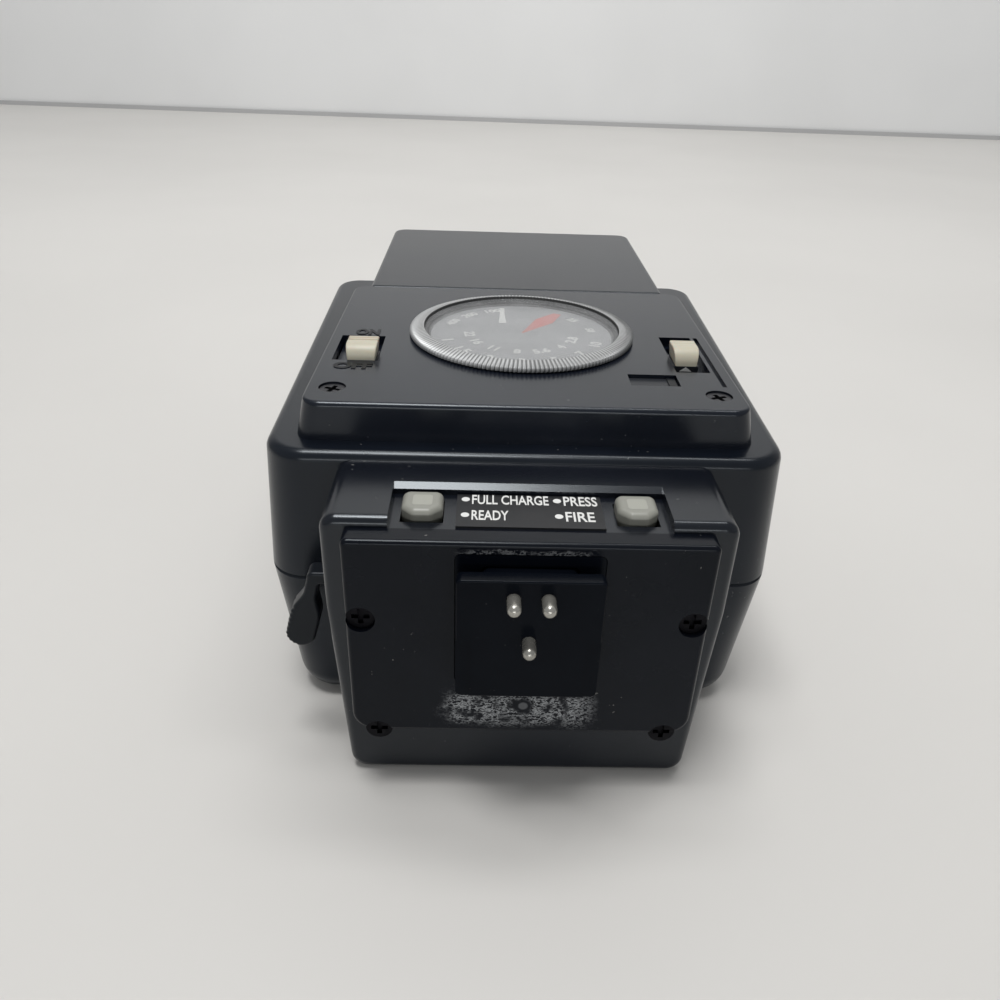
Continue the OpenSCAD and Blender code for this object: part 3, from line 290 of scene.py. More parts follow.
paints = {
    "shell": satinPlastic("shell_plastic", (0.003, 0.0045, 0.008), 0.24, 0.34, dust=0.35),
    "panel": satinPlastic("panel_plastic", (0.003, 0.0045, 0.009), 0.23, 0.41, dust=0.35),
    "base": satinPlastic("base_plastic", (0.003, 0.004, 0.007), 0.22, 0.46),
    "cover": scuffedPlastic("cover_plastic", (0.0022, 0.003, 0.0055), 0.2, 0.16, dust=0.6),
    "foot": satinPlastic("foot_plastic", (0.0012, 0.002, 0.004), 0.2, 0.07, dust=0.25, rubs=0.8),
    "lever": satinPlastic("lever_plastic", (0.004, 0.005, 0.007), 0.36, 0.22, rubs=0.9),
    "screw": plainMetal("blackened_screw", (0.075, 0.075, 0.08), 0.4),
    # cover screws: a near-black copy of the screw finish, painted shade for the dark notches that
    # they sit in
    "shadedScrew": plainMetal("screw_in_painted_shade", (0.012, 0.012, 0.014), 0.5),
    "steel": plainMetal("plain_steel", (0.55, 0.55, 0.56), 0.32),
    "pin": plainPlastic("pin_plating", (0.40, 0.39, 0.355), 0.26, grime=0.8, Metallic=0.75),
    "brass": plainMetal("contact_brass", (0.72, 0.58, 0.3), 0.3),
    "mirror": plainMetal("reflector_sheet", (0.86, 0.87, 0.88), 0.12, (0.1, 1, 1)),
    "ferrite": plainMetal("ferrite", (0.16, 0.12, 0.09), 0.6),
    "cream": plainPlastic("cream_plastic", (0.47, 0.44, 0.345), 0.42, Subsurface_Weight=0.12,
                          Subsurface_Scale=0.002),
    "milky": plainPlastic("milky_plastic", (0.245, 0.245, 0.215), 0.4),
    "milkyInset": plainPlastic("milky_inset", (0.33, 0.33, 0.29), 0.45),
    "inner": plainPlastic("inner_moulding", (0.04, 0.04, 0.043), 0.5),
    "slit": plainPlastic("slit_insert", (0.02, 0.022, 0.026), 0.3, Specular_IOR_Level=0.18),
    "scale": plainPlastic("scale_print", (0.27, 0.275, 0.28), 0.45),
    "ring": ringPaint("ring_plastic", (0.46, 0.465, 0.465)),
    "label": plainPlastic("label_print", (0.012, 0.0125, 0.014), 0.3, Specular_IOR_Level=0.3),
    "white": plainPlastic("white_print", (0.69, 0.69, 0.67), 0.5, grime=0.35),
    "red": plainPlastic("red_print", (0.54, 0.125, 0.1), 0.45),
    "mark": plainPlastic("raised_lettering", (0.004, 0.005, 0.007), 0.28, Specular_IOR_Level=0.12),
    "wrap": plainPlastic("cell_wrap", (0.30, 0.32, 0.35), 0.35, Metallic=0.3),
    "board": plainPlastic("board_laminate", (0.20, 0.24, 0.09), 0.5),
    "sleeve": plainPlastic("capacitor_sleeve", (0.05, 0.06, 0.09), 0.3),
    "copper": plainPlastic("coil_tape", (0.40, 0.10, 0.06), 0.45),
    "clear": clearPlastic("clear_window", (0.86, 0.88, 0.89), 0.2, 0.1),
    # dial window: its grey, partly opaque film is painted reflection of the bright wall, besides
    # the real haze
    "dialClear": clearPlastic("dial_window_haze_and_reflection", (0.50, 0.505, 0.51), 0.19, 0.12, 0.1),
    "tint": clearPlastic("sensor_tint", (0.12, 0.03, 0.03), 0.75, 0.08, 0.1),
    "neon": clearPlastic("neon_glass", (0.85, 0.55, 0.35), 0.5, 0.1),
}
print("finishes made:", len(paints))


def unit(vectors):
    return vectors / np.linalg.norm(vectors, axis=1)[:, None]


def fullTurn(sides):
    return np.linspace(0, 2 * np.pi, sides, endpoint=False)


def directions(angles):
    return np.stack([np.cos(angles), np.sin(angles)], -1)


# arcs round an outline: each corner's centre, its radius, and the directions that its arc sweeps,
# anticlockwise
def roundedRing(corners, radii, turn):
    corners = np.array(corners, float)
    radii = np.array(radii, float)
    back = unit(np.roll(corners, 1, 0) - corners)
    ahead = unit(np.roll(corners, -1, 0) - corners)
    half = np.arccos(np.clip((back * ahead).sum(1), -1, 1)) / 2
    centres = corners + unit(back + ahead) * (radii / np.sin(half))[:, None]
    start = np.arctan2(back[:, 0], -back[:, 1])
    sweep = np.mod(np.arctan2(-ahead[:, 0], ahead[:, 1]) - start, 2 * np.pi)
    angles = (start[:, None] + sweep[:, None] * np.linspace(0, 1, turn + 1)).ravel()
    return np.repeat(centres, turn + 1, 0), np.repeat(radii, turn + 1), directions(angles)


def box2(x0, y0, x1, y1):
    return [(x0, y0), (x1, y0), (x1, y1), (x0, y1)]


# any closed outline, anticlockwise: each point with the outward direction across its neighbours
def freeRing(points):
    points = np.array(points, float)
    along = np.roll(points, -1, 0) - np.roll(points, 1, 0)
    return points, np.zeros(len(points)), unit(np.stack([along[:, 1], -along[:, 0]], 1))


# rows of a ring's points: corner centre + (radius - drawn in) * direction
def drawnIn(ring, drawn):
    centres, radii, ways = ring
    return centres + (radii - drawn)[..., None] * ways


# quads of a grid whose columns close on themselves, with a flat cap on its first and last row
def tubeFaces(rows, columns, capped=True):
    row, column = np.meshgrid(np.arange(rows - 1), np.arange(columns), indexing="ij")
    beside = (column + 1) % columns
    quads = np.stack([row * columns + column, row * columns + beside,
                      (row + 1) * columns + beside, (row + 1) * columns + column], -1)
    faces = quads.reshape(-1, 4).tolist()
    if capped:
        faces.append(list(range(columns))[::-1])
        faces.append(list(range((rows - 1) * columns, rows * columns)))
    return faces


# rows of flat points, set at their heights and joined by faces
def loft(flat, height):
    height = np.broadcast_to(height, flat.shape[:2])[..., None]
    return np.concatenate([flat, height], -1).reshape(-1, 3), tubeFaces(*flat.shape[:2])


roundSteps = 6


# quarter rounds at both ends of a prism: how far each row is drawn in, and where it lies
def endRounds(low, high, lowRound, highRound):
    angle = np.linspace(0, np.pi / 2, roundSteps + 1)
    inward, level = 1 - np.cos(angle), 1 - np.sin(angle)
    drawn = np.concatenate([lowRound * level, highRound * inward])
    along = np.concatenate([low + lowRound * inward, high - highRound * level])
    keep = np.ones(len(drawn), bool)
    if lowRound == 0:
        keep[1:roundSteps + 1] = False
    if highRound == 0:
        keep[roundSteps + 1:-1] = False
    return drawn[keep], along[keep]


# order in which a prism's outline and length become x, y and z
axisOrder = {"z": (0, 1, 2), "y": (0, 2, 1), "x": (2, 0, 1)}


# outline carried along an axis, with rounded ends
def prism(ring, axis, low, high, lowRound=0.0, highRound=0.0):
    drawn, along = endRounds(low, high, lowRound, highRound)
    points, faces = loft(drawnIn(ring, drawn[:, None]), along[:, None])
    return points[:, axisOrder[axis]], faces


def block(low, high, corner=0.0, edge=0.0):
    ring = roundedRing(box2(*low[:2], *high[:2]), [corner] * 4, 6 if corner else 0)
    return prism(ring, "z", low[2], high[2], edge, edge)


# a block on each side: x of its middle, half its width, and y and z of its low and high ends
def blockPair(middle, half, low, high):
    return [block((side * middle - half, *low), (side * middle + half, *high))
            for side in bothSides]


def rod(axis, centre, radius, low, high, sides=64):
    ring = np.repeat([centre], sides, 0).astype(float), np.full(sides, float(radius))
    return prism(ring + (directions(fullTurn(sides)),), axis, low, high)


def rodPair(axis, place, *sizes):
    return [rod(axis, (side * place[0], place[1]), *sizes) for side in bothSides]


# closed profile turned about an upright axis: its columns are radius, height, and the shares by
# which the flutes draw it in and sink it
def turned(profile, centre, angle, flutes):
    radius, height, inward, sunk = np.array(profile, float).T[..., None]
    radius, height = radius + flutes * inward, height + flutes * sunk
    points = np.stack([centre[0] + radius * np.cos(angle), centre[1] + radius * np.sin(angle),
                       height], -1)
    rows, sides = radius.shape
    last = np.arange(sides)
    beside = (last + 1) % sides
    top = (rows - 1) * sides
    closing = np.stack([top + last, top + beside, beside, last], 1).tolist()
    return points.reshape(-1, 3), tubeFaces(rows, sides, False) + closing


def newMesh(name, shape):
    points, faces = shape
    mesh = bpy.data.meshes.new(name)
    mesh.from_pydata((np.asarray(points) * mm).tolist(), [], faces)
    tidy = bmesh.new()
    tidy.from_mesh(mesh)
    bmesh.ops.remove_doubles(tidy, verts=tidy.verts, dist=1e-7)
    bmesh.ops.recalc_face_normals(tidy, faces=tidy.faces)
    tidy.to_mesh(mesh)
    tidy.free()
    return mesh


def newObject(name, mesh):
    made = bpy.data.objects.new(name, mesh)
    scene.collection.objects.link(made)
    return made


# the mesh that an object's modifiers or curve come to
def finalMesh(source):
    bpy.context.view_layer.update()
    graph = bpy.context.evaluated_depsgraph_get()
    return bpy.data.meshes.new_from_object(source.evaluated_get(graph))


# joins or cuts a piece with other shapes in turn, and keeps the finished mesh
def carve(piece, steps):
    tools = []
    for number, (operation, shape) in enumerate(steps):
        tool = newObject("tool", newMesh("tool", shape))
        cut = piece.modifiers.new(f"cut{number}", "BOOLEAN")
        cut.operation = operation
        cut.solver = "EXACT"
        cut.object = tool
        tools.append(tool)
    made = finalMesh(piece)
    piece.modifiers.clear()
    piece.data = made
    for tool in tools:
        bpy.data.objects.remove(tool)


def joined(*shapes):
    return [("UNION", shape) for shape in shapes]


def cutOut(*shapes):
    return [("DIFFERENCE", shape) for shape in shapes]


# shades a piece, gives it its finish and its body, and hides the solids that it stands for
def finish(piece, paint, body="body", slot=None, stands=(), sharp=38, weighted=True):
    mesh = piece.data
    mesh.name = piece.name
    mesh.materials.clear()
    mesh.materials.append(paints[paint])
    mesh.shade_smooth()
    mesh.set_sharp_from_angle(angle=math.radians(sharp))
    if weighted:
        even = piece.modifiers.new("even", "WEIGHTED_NORMAL")
        even.keep_sharp = True
        even.weight = 100
    if stands:
        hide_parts(*stands)
    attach(piece, body)
    return piece


def piece(name, shape, paint, body="body", slot=None, stands=(), steps=(), **shading):
    made = newObject(name, newMesh(name, shape))
    if steps:
        carve(made, steps)
    return finish(made, paint, body, slot, stands, **shading)


# holes are radius, low, high and sides, and openings are two corners
casing = {"seam": 24.4, "top": 46.0, "near": -44.0, "far": 38.0,
          "seamHalf": 39.2, "topHalf": 37.9, "lowHalf": 36.0,
          "nearCorner": 6.2, "farCorner": 5.0, "topRound": 1.6, "lowRound": 4.5, "leastRound": 0.2,
          "roundRows": 9, "seamGap": 0.3, "past": 1, "wall": 2.4, "flare": 1.1, "rise": 1.8,
          "opening": ((-25.5, -30.0, 40), (25.5, 15.3, 49)),
          "doorway": ((-30, -36.9, -1), (45, 17.6, 3.4)),
          "doorGroove": ((-30, -38.1, 0.75), (45, 18.8, 1.65)),
          "window": ((-25.5, 40.6, -1), (25.5, 65.6, 3.4)),
          "sensor": (0, 29), "sensorHole": (4, -1, 3.4),
          "screw": (30.9, 27.9), "screwWell": (2.0, -1, 1.5, 32)}
head = {"half": 29.6, "near": 17.8, "far": 69.6, "top": 52.0, "corner": 3.0, "edge": 0.9,
        "lowEdge": 0.6}


# body between two heights: rounded rectangles whose half width follows the height, drawn in at
# rounded ends; above the seam the sides flare and the top rises by the share of the height times
# the share of the length
def bodyLoft(heights, halves, drawn, inset=0.0):
    c = casing
    ring = roundedRing(box2(-c["seamHalf"], c["near"], c["seamHalf"], c["far"]),
                       [c["nearCorner"]] * 2 + [c["farCorner"]] * 2, 10)
    flat = drawnIn(ring, (drawn + inset)[:, None])
    share = np.clip((heights - c["seam"]) / (c["top"] - c["seam"]), 0, 1)[:, None]
    share = share * (flat[..., 1] - c["near"]) / (c["far"] - c["near"])
    widen = (halves - c["seamHalf"])[:, None] + c["flare"] * share
    flat[..., 0] += np.sign(ring[0][:, 0]) * widen
    return loft(flat, heights[:, None] + c["rise"] * share)


def headBlock(low, high, lowRound, highRound, inset=0.0):
    h = head
    half = h["half"] - inset
    ring = roundedRing(box2(-half, h["near"] + inset, half, h["far"] - inset),
                       [h["edge"]] * 2 + [h["corner"] - inset] * 2, 8)
    return prism(ring, "z", low, high, lowRound, highRound)


# heights, half widths and draw-in of the rear half; with an inset, of the hollow that runs past
# the seam
def rearLevels(inset):
    c = casing
    angle = np.linspace(0, np.pi / 2, c["roundRows"])
    rise = max(c["topRound"] - inset, c["leastRound"])
    start, gap = (c["seam"] - c["past"], 0) if inset else (c["seam"], c["seamGap"])
    heights = np.concatenate([[start, c["seam"] + c["seamGap"]],
                              c["top"] - inset - rise * (1 - np.sin(angle))])
    drawn = np.concatenate([[gap, 0], rise * (1 - np.cos(angle))])
    slope = (c["topHalf"] - c["seamHalf"]) / (c["top"] - c["seam"])
    return heights, c["seamHalf"] + slope * (heights - c["seam"]), drawn


# the same for the front half
def frontLevels(inset):
    c = casing
    angle = np.linspace(np.pi / 2, 0, c["roundRows"])
    rise = c["lowRound"] - inset
    end, gap = (c["seam"] + c["past"], 0) if inset else (c["seam"], c["seamGap"])
    heights = np.concatenate([inset + rise * (1 - np.sin(angle)),
                              [c["seam"] - c["seamGap"], end]])
    drawn = np.concatenate([rise * (1 - np.cos(angle)), [0, gap]])
    slope = (c["seamHalf"] - c["lowHalf"]) / c["seam"]
    return heights, c["lowHalf"] + slope * heights, drawn


def makeCasing():
    c, h = casing, head
    wall = c["wall"]
    rearHead = headBlock(c["seam"], h["top"], c["seamGap"], h["edge"])
    rearCuts = [bodyLoft(*rearLevels(wall), wall),
                headBlock(c["seam"] - c["past"], h["top"] - wall, 0, 0, wall),
                block(*c["opening"])]
    piece("rear_casing", bodyLoft(*rearLevels(0)), "shell", slot="black_plastic",
          stands=("rear_shell",), steps=joined(rearHead) + cutOut(*rearCuts))
    frontHead = headBlock(0, c["seam"], h["lowEdge"], c["seamGap"])
    frontCuts = [bodyLoft(*frontLevels(wall), wall),
                 headBlock(wall, c["seam"] + c["past"], 0, 0, wall)]
    frontCuts += [block(*c[key]) for key in ("doorway", "doorGroove", "window")]
    frontCuts.append(rod("z", c["sensor"], *c["sensorHole"]))
    frontCuts += rodPair("z", c["screw"], *c["screwWell"])
    piece("front_casing", bodyLoft(*frontLevels(0)), "shell", slot="black_plastic",
          stands=("front_shell",), steps=joined(frontHead) + cutOut(*frontCuts))


makeCasing()
print("casing made")

panel = {"half": 32.4, "near": -40.2, "far": 17.8, "low": 46.0, "top": 52.0, "corner": 2.8,
         "edge": 0.8, "sideEdge": 0.4, "edgeRows": 8, "skin": 1.6, "spread": 1.2, "hollowLow": 40,
         "dialBoss": (18.7, 48.9, 51.2), "dialWell": (17.1, 50.4, 60, 128),
         "rivetHole": (1.15, 45, 60), "screw": (28.6, -34.4), "screwBoss": (2.8, 46, 51.2, 32),
         "screwWells": ((2.0, 50.5, 60, 40), (1.3, 45, 60, 32)),
         "powerSlot": ((-30.5, -23.4, 45), (-23.2, -11.9, 60)),
         "modeSlot": ((24.0, -25.3, 45), (29.4, -8.9, 60)),
         "slit": ((16.0, -31.1, 51), (23.6, -26.6, 60)),
         "groove": ((29.95, -31, 51.5), (30.65, -9, 60)),
         "shutter": ((22.1, -30.9, 51.3), (23.4, -26.8, 51.6), 0.1, 0.05)}


# panel: rounded rectangles whose half width grows by the spread from the rear edge down to the
# body; the edge's rounding is widest where the outline faces the foot
def panelLoft():
    p = panel
    ring = roundedRing(box2(-p["half"], p["near"], p["half"], p["far"]), [p["corner"]] * 4, 8)
    centres, _, ways = ring
    edge = p["sideEdge"] + (p["edge"] - p["sideEdge"]) * np.clip(-ways[:, 1], 0, 1) ** 2
    angle = np.linspace(0, np.pi / 2, p["edgeRows"])[:, None]
    drawn = np.concatenate([0 * edge[None], edge * (1 - np.cos(angle))])
    height = np.concatenate([0 * edge[None] + p["low"], p["top"] - edge * (1 - np.sin(angle))])
    straight = p["top"] - p["edge"]
    spread = p["spread"] * np.clip((straight - height) / (straight - p["low"]), 0, 1)
    flat = drawnIn(ring, drawn)
    flat[..., 0] += np.sign(centres[:, 0]) * spread
    return loft(flat, height)


def makePanel():
    p = panel
    skin = p["skin"]
    hollow = block((-p["half"] + skin, p["near"] + skin, p["hollowLow"]),
                   (p["half"] - skin, p["far"] - skin, p["top"] - skin))
    bosses = [rod("z", dialCentre, *p["dialBoss"])] + rodPair("z", p["screw"], *p["screwBoss"])
    cuts = [rod("z", dialCentre, *p[key]) for key in ("dialWell", "rivetHole")]
    cuts += [block(*p[key]) for key in ("powerSlot", "modeSlot", "slit", "groove")]
    x, y = p["screw"]
    cuts += [rod("z", (side * x, y), *well) for side in bothSides for well in p["screwWells"]]
    piece("panel_plate", panelLoft(), "panel", slot="panel_plastic", stands=("control_panel",),
          steps=cutOut(hollow) + joined(*bosses) + cutOut(*cuts))
    # a small shutter at the right end of the slit
    piece("slit_shutter", block(*p["shutter"]), "mark")


makePanel()
print("panel made")

# the recess is cut with a bevelled lip along its far edge, given in y and z
base = {"outline": [(-25.1, 0.2), (25.1, 0.2), (27, 30.4), (27, 45), (-27, 45), (-27, 30.4)],
        "radii": [2.6, 2.6, 16, 2.2, 2.2, 16], "near": -59.5, "far": -44.0, "edge": 1.3,
        "inner": [(-23.1, 2.2), (23.1, 2.2), (25, 30.4), (25, 41.6), (-25, 41.6), (-25, 30.4)],
        "innerRadius": 1, "innerNear": -57.5, "innerFar": -46, "recess": 18.2,
        "recessSide": [(-62, 43.6), (-50.8, 43.6), (-50.8, 44.4), (-49.84, 45.0), (-49.84, 50),
                       (-62, 50)],
        "mouth": ((-18.4, -61, 14.7), (18.4, -56, 41.6)),
        "keyHoles": (2.8, (-58.0, 38), (-52.4, 46)),
        "leverSlot": ((-30, -53.1, 29.2), (-24, -49.5, 41.8)), "screwWell": (2.2, -62, -58.3, 40)}


def makeBase():
    b = base
    shape = prism(roundedRing(b["outline"], b["radii"], 8), "y", b["near"], b["far"], b["edge"])
    inner = roundedRing(b["inner"], [b["innerRadius"]] * len(b["inner"]), 2)
    cuts = [prism(inner, "y", b["innerNear"], b["innerFar"]), block(*b["mouth"]),
            prism(freeRing(b["recessSide"]), "x", -b["recess"], b["recess"])]
    cuts += blockPair(keyMiddle, *b["keyHoles"])
    cuts.append(block(*b["leverSlot"]))
    cuts += rodPair("y", lowScrew, *b["screwWell"])
    piece("base_case", shape, "base", slot="black_plastic", stands=("base_housing",),
          steps=cutOut(*cuts), sharp=25)


makeBase()
print("base made")

cover = {"half": 23.85, "low": 11.5, "top": 43.6, "near": -62.6, "far": -59.5, "edge": 0.7,
         "lowCorner": 3.0, "topCorner": 0.9, "screws": ((21.9, 31.3), lowScrew),
         "screwWells": ((2.0, -64, -60.6, 40), (1.3, -64, -58, 24)),
         "peg": 7.4, "pegHole": (1.1, -64, -58, 24),
         "relief": (-9.6, 20.8, 9.6, 42.0), "reliefCorner": 0.9, "reliefEnds": (-64, -60.9),
         "footHole": (5.05, -64, -58), "pinHole": (1.0, -64, -58, 32)}


def makeCover():
    c = cover
    ring = roundedRing(box2(-c["half"], c["low"], c["half"], c["top"]),
                       [c["lowCorner"]] * 2 + [c["topCorner"]] * 2, 8)
    relief = roundedRing(box2(*c["relief"]), [c["reliefCorner"]] * 4, 4)
    cuts = [prism(relief, "y", *c["reliefEnds"])]
    for side in bothSides:
        for x, z in c["screws"]:
            cuts += [rod("y", (side * x, z), *well) for well in c["screwWells"]]
        cuts.append(rod("y", (side * c["peg"], footAxis[1]), *c["pegHole"]))
    cuts.append(rod("y", footAxis, *c["footHole"]))
    cuts += [rod("y", pinPlaces[side], *c["pinHole"]) for side in ("left", "right")]
    piece("cover_plate", prism(ring, "y", c["near"], c["far"], c["edge"]), "cover",
          slot="black_plastic", stands=("bottom_cover",), steps=cutOut(*cuts))


makeCover()

foot = {"half": 9.3, "low": 22.0, "top": 40.8, "near": -66.6, "thick": 2.0, "edge": 0.3,
        "farEdge": 0.15, "corner": 0.8, "neck": (-6.1, 22.9, 6.1, 39.9), "neckCorner": 1.0,
        "neckEnds": (-65.6, -61.0), "bosses": ((5.0, -61.01, -49.2), (3.5, -49.3, -46.8)),
        "lips": (8.4, 1.0, (-68, 20), (-66.3, 31.4)), "pinHole": (0.95, -70, -40, 32),
        "chamber": (1.6, -59.4, -40, 40)}


def makeFoot():
    f = foot
    ring = roundedRing(box2(-f["half"], f["low"], f["half"], f["top"]), [f["corner"]] * 4, 5)
    shape = prism(ring, "y", f["near"], f["near"] + f["thick"], f["edge"], f["farEdge"])
    neck = roundedRing(box2(*f["neck"]), [f["neckCorner"]] * 4, 4)
    added = [prism(neck, "y", *f["neckEnds"])]
    added += [rod("y", footAxis, *boss) for boss in f["bosses"]]
    cuts = blockPair(*f["lips"])
    cuts += [rod("y", place, *f["pinHole"]) for place in pinPlaces.values()]
    cuts.append(rod("y", footAxis, *f["chamber"]))
    piece("foot_plate", shape, "foot", slot="foot_plastic", stands=("shoe_foot",),
          steps=joined(*added) + cutOut(*cuts))


makeFoot()
print("cover and foot made")

lever = {"near": -52.8, "far": -49.8, "nearEdge": 0.5, "farEdge": 0.3, "elbow": (-29.8, 30.5),
         "arm": 2.0, "armEnd": -5, "underElbow": 1.2, "slant": 15, "start": 0.8, "length": 12.6,
         "width": 4.4, "run": 3.4, "neck": 1.9, "neckLength": 2.6, "notch": 0.14, "notches": 10,
         "hub": 8.4, "bore": 5.05, "past": 1}


# lever outline: arm, elbow, and a neck that swells smoothly into the paddle; cusps are cut into
# the paddle's outer rim
def leverRing():
    v = lever
    slant = math.radians(v["slant"])
    lean = np.array([-math.sin(slant), -math.cos(slant)])
    side = np.array([math.cos(slant), -math.sin(slant)])
    elbow = np.array(v["elbow"])
    half, arm = v["width"] / 2, v["arm"] / 2
    reach = v["length"] - half
    along = np.linspace(v["start"], reach, 60)[:, None]
    swell = np.clip((along - v["neckLength"]) / (reach - v["run"] - v["neckLength"]), 0, 1)
    spread = v["neck"] / 2 + (half - v["neck"] / 2) * swell * swell * (3 - 2 * swell)
    angle = np.linspace(np.pi, 0, 50)[1:-1, None]
    left = elbow + lean * along - side * spread
    end = elbow + lean * (reach + half * np.sin(angle)) + side * (half * np.cos(angle))
    right = (elbow + lean * along + side * spread)[::-1]
    corner = elbow + arm * directions(np.linspace(np.pi / 2, np.pi, 8))
    low = elbow[1] - arm
    outline = np.concatenate([[[v["armEnd"], elbow[1] + arm]], corner, left, end, right,
                              [[elbow[0] + v["underElbow"], low], [v["armEnd"], low]]])
    points, radii, ways = freeRing(outline)
    first = 1 + len(corner) + len(left) // 2
    last = 1 + len(corner) + len(left) + len(end) // 2
    cusps = np.abs(np.sin(np.linspace(0, np.pi * v["notches"], last - first)))
    radii[first:last] = -v["notch"] * cusps
    return points, radii, ways


def makeLever():
    v = lever
    shape = prism(leverRing(), "y", v["near"], v["far"], v["nearEdge"], v["farEdge"])
    hub = rod("y", footAxis, v["hub"], v["near"], v["far"])
    bore = rod("y", footAxis, v["bore"], v["near"] - v["past"], v["far"] + v["past"])
    piece("lever_blade", shape, "lever", "lever", "foot_plastic", ("lock_lever",),
          joined(hub) + cutOut(bore), sharp=60)


makeLever()

slider = {"low": 50.5, "waist": 51.6, "top": 54.2, "length": 5.2, "bend": 2.1, "ridges": 2,
          "ridgeStart": 2.1, "ridgeRun": 1.85, "farDrop": 0.3, "end": 0.25, "taper": 0.36,
          "lap": 0.05, "corner": 0.2, "edge": 0.1,
          "stemHalf": 1, "stemNear": 1.6, "stemFar": 3.6, "stemLow": 48.5, "stemLap": 0.3}
sliders = {"power": {"middle": -25.9, "half": 2.5, "near": -23.3, "ridge": 0.42},
           "mode": {"middle": 26.3, "half": 2.1, "near": -21.6, "ridge": 0.06}}


# slider side view: the near face and the top are one quarter bend, then cosine ridges near the
# far end
def sliderOutline(near, ridge):
    v = slider
    far = near + v["length"]
    bend = directions(np.linspace(np.pi, np.pi / 2, 14))
    shoulder = np.array([near, v["top"]]) + v["bend"] * (bend + (1, -1))
    way = np.linspace(0, 1, 33)
    wave = 1 - np.cos(way * 2 * np.pi * v["ridges"])
    ridged = np.stack([far - v["ridgeStart"] + way * v["ridgeRun"], v["top"] - ridge / 2 * wave], 1)
    outline = [[[near, v["waist"]]], shoulder, ridged,
               [[far, v["top"] - v["farDrop"]], [far, v["waist"]]]]
    return np.concatenate(outline)[::-1]


# the cap is narrower towards the panel by its depth's share of the taper
def makeSlider(name, middle, half, near, ridge):
    v = slider
    points, faces = prism(freeRing(sliderOutline(near, ridge)), "x", middle - half, middle + half,
                          v["end"], v["end"])
    depth = (v["top"] - points[:, 2]) / (v["top"] - v["waist"])
    points[:, 0] = middle + (points[:, 0] - middle) * (1 - v["taper"] / half * depth)
    piece(name + "_cap", (points, faces), "cream", name, "cream_plastic", (name + "_slider",),
          sharp=50, weighted=False)
    carrier = block((middle - half, near, v["low"]),
                    (middle + half, near + v["length"], v["waist"] + v["lap"]),
                    v["corner"], v["edge"])
    stem = block((middle - v["stemHalf"], near + v["stemNear"], v["stemLow"]),
                 (middle + v["stemHalf"], near + v["stemFar"], v["low"] + v["stemLap"]))
    piece(name + "_carrier", carrier, "slit", name, "dark_plastic", steps=joined(stem))


for name, sizes in sliders.items():
    makeSlider(name, **sizes)

printThick = 0.06
modeMark = prism(freeRing([(25.3, 50.75), (27.3, 50.75), (26.3, 51.45)]), "y",
                 sliders["mode"]["near"] - printThick, sliders["mode"]["near"])
piece("mode_mark", modeMark, "white", "mode", "dark_plastic")

keys = {"side": 5.4, "near": -57.9, "top": 45.3, "chamfer": 1.5, "slim": 0.65, "corner": 0.9,
        "edge": 0.85, "lean": 1.2, "leanHeight": 1.6, "flange": 0.6, "flangeEnds": (40.6, 41.5),
        "pane": (-1.25, -1.2, 1.3, 1.35), "paneCorner": 0.4, "paneSink": 0.1, "paneRise": 0.015}


# lamp and button: an eight-cornered block with a well rounded top and a paler pane; its near side
# leans back below the top
def makeKey(name, side, low, body, stands):
    k = keys
    middle, half = side * keyMiddle, k["side"] / 2
    near, far = k["near"], k["near"] + k["side"]
    left, right, cut, slim = middle - half, middle + half, k["chamfer"], k["slim"]
    corners = [(left + cut, near), (right - cut, near), (right, near + cut), (right, far - slim),
               (right - slim, far), (left + slim, far), (left, far - slim), (left, near + cut)]
    drawn, heights = endRounds(low, k["top"], 0, k["edge"])
    flat = drawnIn(roundedRing(corners, [k["corner"]] * len(corners), 4), drawn[:, None])
    lean = k["lean"] * np.clip((k["top"] - k["edge"] - heights) / k["leanHeight"], 0, 1)
    flat[..., 1] += lean[:, None] * np.clip((far - flat[..., 1]) / k["side"], 0, 1)
    reach, (flangeLow, flangeHigh) = k["flange"], k["flangeEnds"]
    flange = block((left - reach, near - reach, flangeLow),
                   (right + reach, far + reach, flangeHigh))
    piece(name + "_cap", loft(flat, heights[:, None]), "milky", body, "milky_plastic", stands,
          joined(flange) if body != "body" else ())
    x0, y0, x1, y1 = k["pane"]
    x0, x1 = sorted((middle - side * x0, middle - side * x1))
    pane = roundedRing(box2(x0, near + half + y0, x1, near + half + y1), [k["paneCorner"]] * 4, 4)
    piece(name + "_pane", prism(pane, "z", k["top"] - k["paneSink"], k["top"] + k["paneRise"]),
          "milkyInset", body, "milky_plastic")


makeKey("lamp", -1, 41.6, "body", ("check_lamp",))
makeKey("button", 1, 41.1, "button", ("test_button",))
print("lever, sliders and keys made")


# words become a mesh: the line's weight is added round each letter, then the whole is scaled to
# its width
def letterMesh(words, size, place, weight, turn=0.0, wide=None, thick=printThick):
    curve = bpy.data.curves.new("letters", "FONT")
    curve.body = words
    curve.size = size * mm
    curve.align_x = "CENTER"
    curve.align_y = "CENTER"
    curve.extrude = thick * mm / 2
    curve.offset = weight * size * mm
    curve.resolution_u = 3
    source = newObject("letters", curve)
    mesh = finalMesh(source)
    bpy.data.objects.remove(source)
    corners = np.array([corner.co[:] for corner in mesh.vertices])
    low, high = corners.min(0), corners.max(0)
    stretch = wide * mm / (high[0] - low[0]) if wide else 1.0
    centred = Matrix.Translation(-Vector((low + high) / 2))
    placed = Matrix.Translation(Vector(place) * mm) @ Matrix.Rotation(turn, 4, "Z")
    mesh.transform(placed @ Matrix.Diagonal((stretch, 1, 1, 1)) @ centred)
    return mesh


def joinMeshes(name, meshes, paint, slot=None):
    whole = bmesh.new()
    for mesh in meshes:
        whole.from_mesh(mesh)
    merged = bpy.data.meshes.new(name)
    whole.to_mesh(merged)
    whole.free()
    finish(newObject(name, merged), paint, "body", slot, sharp=30, weighted=False)


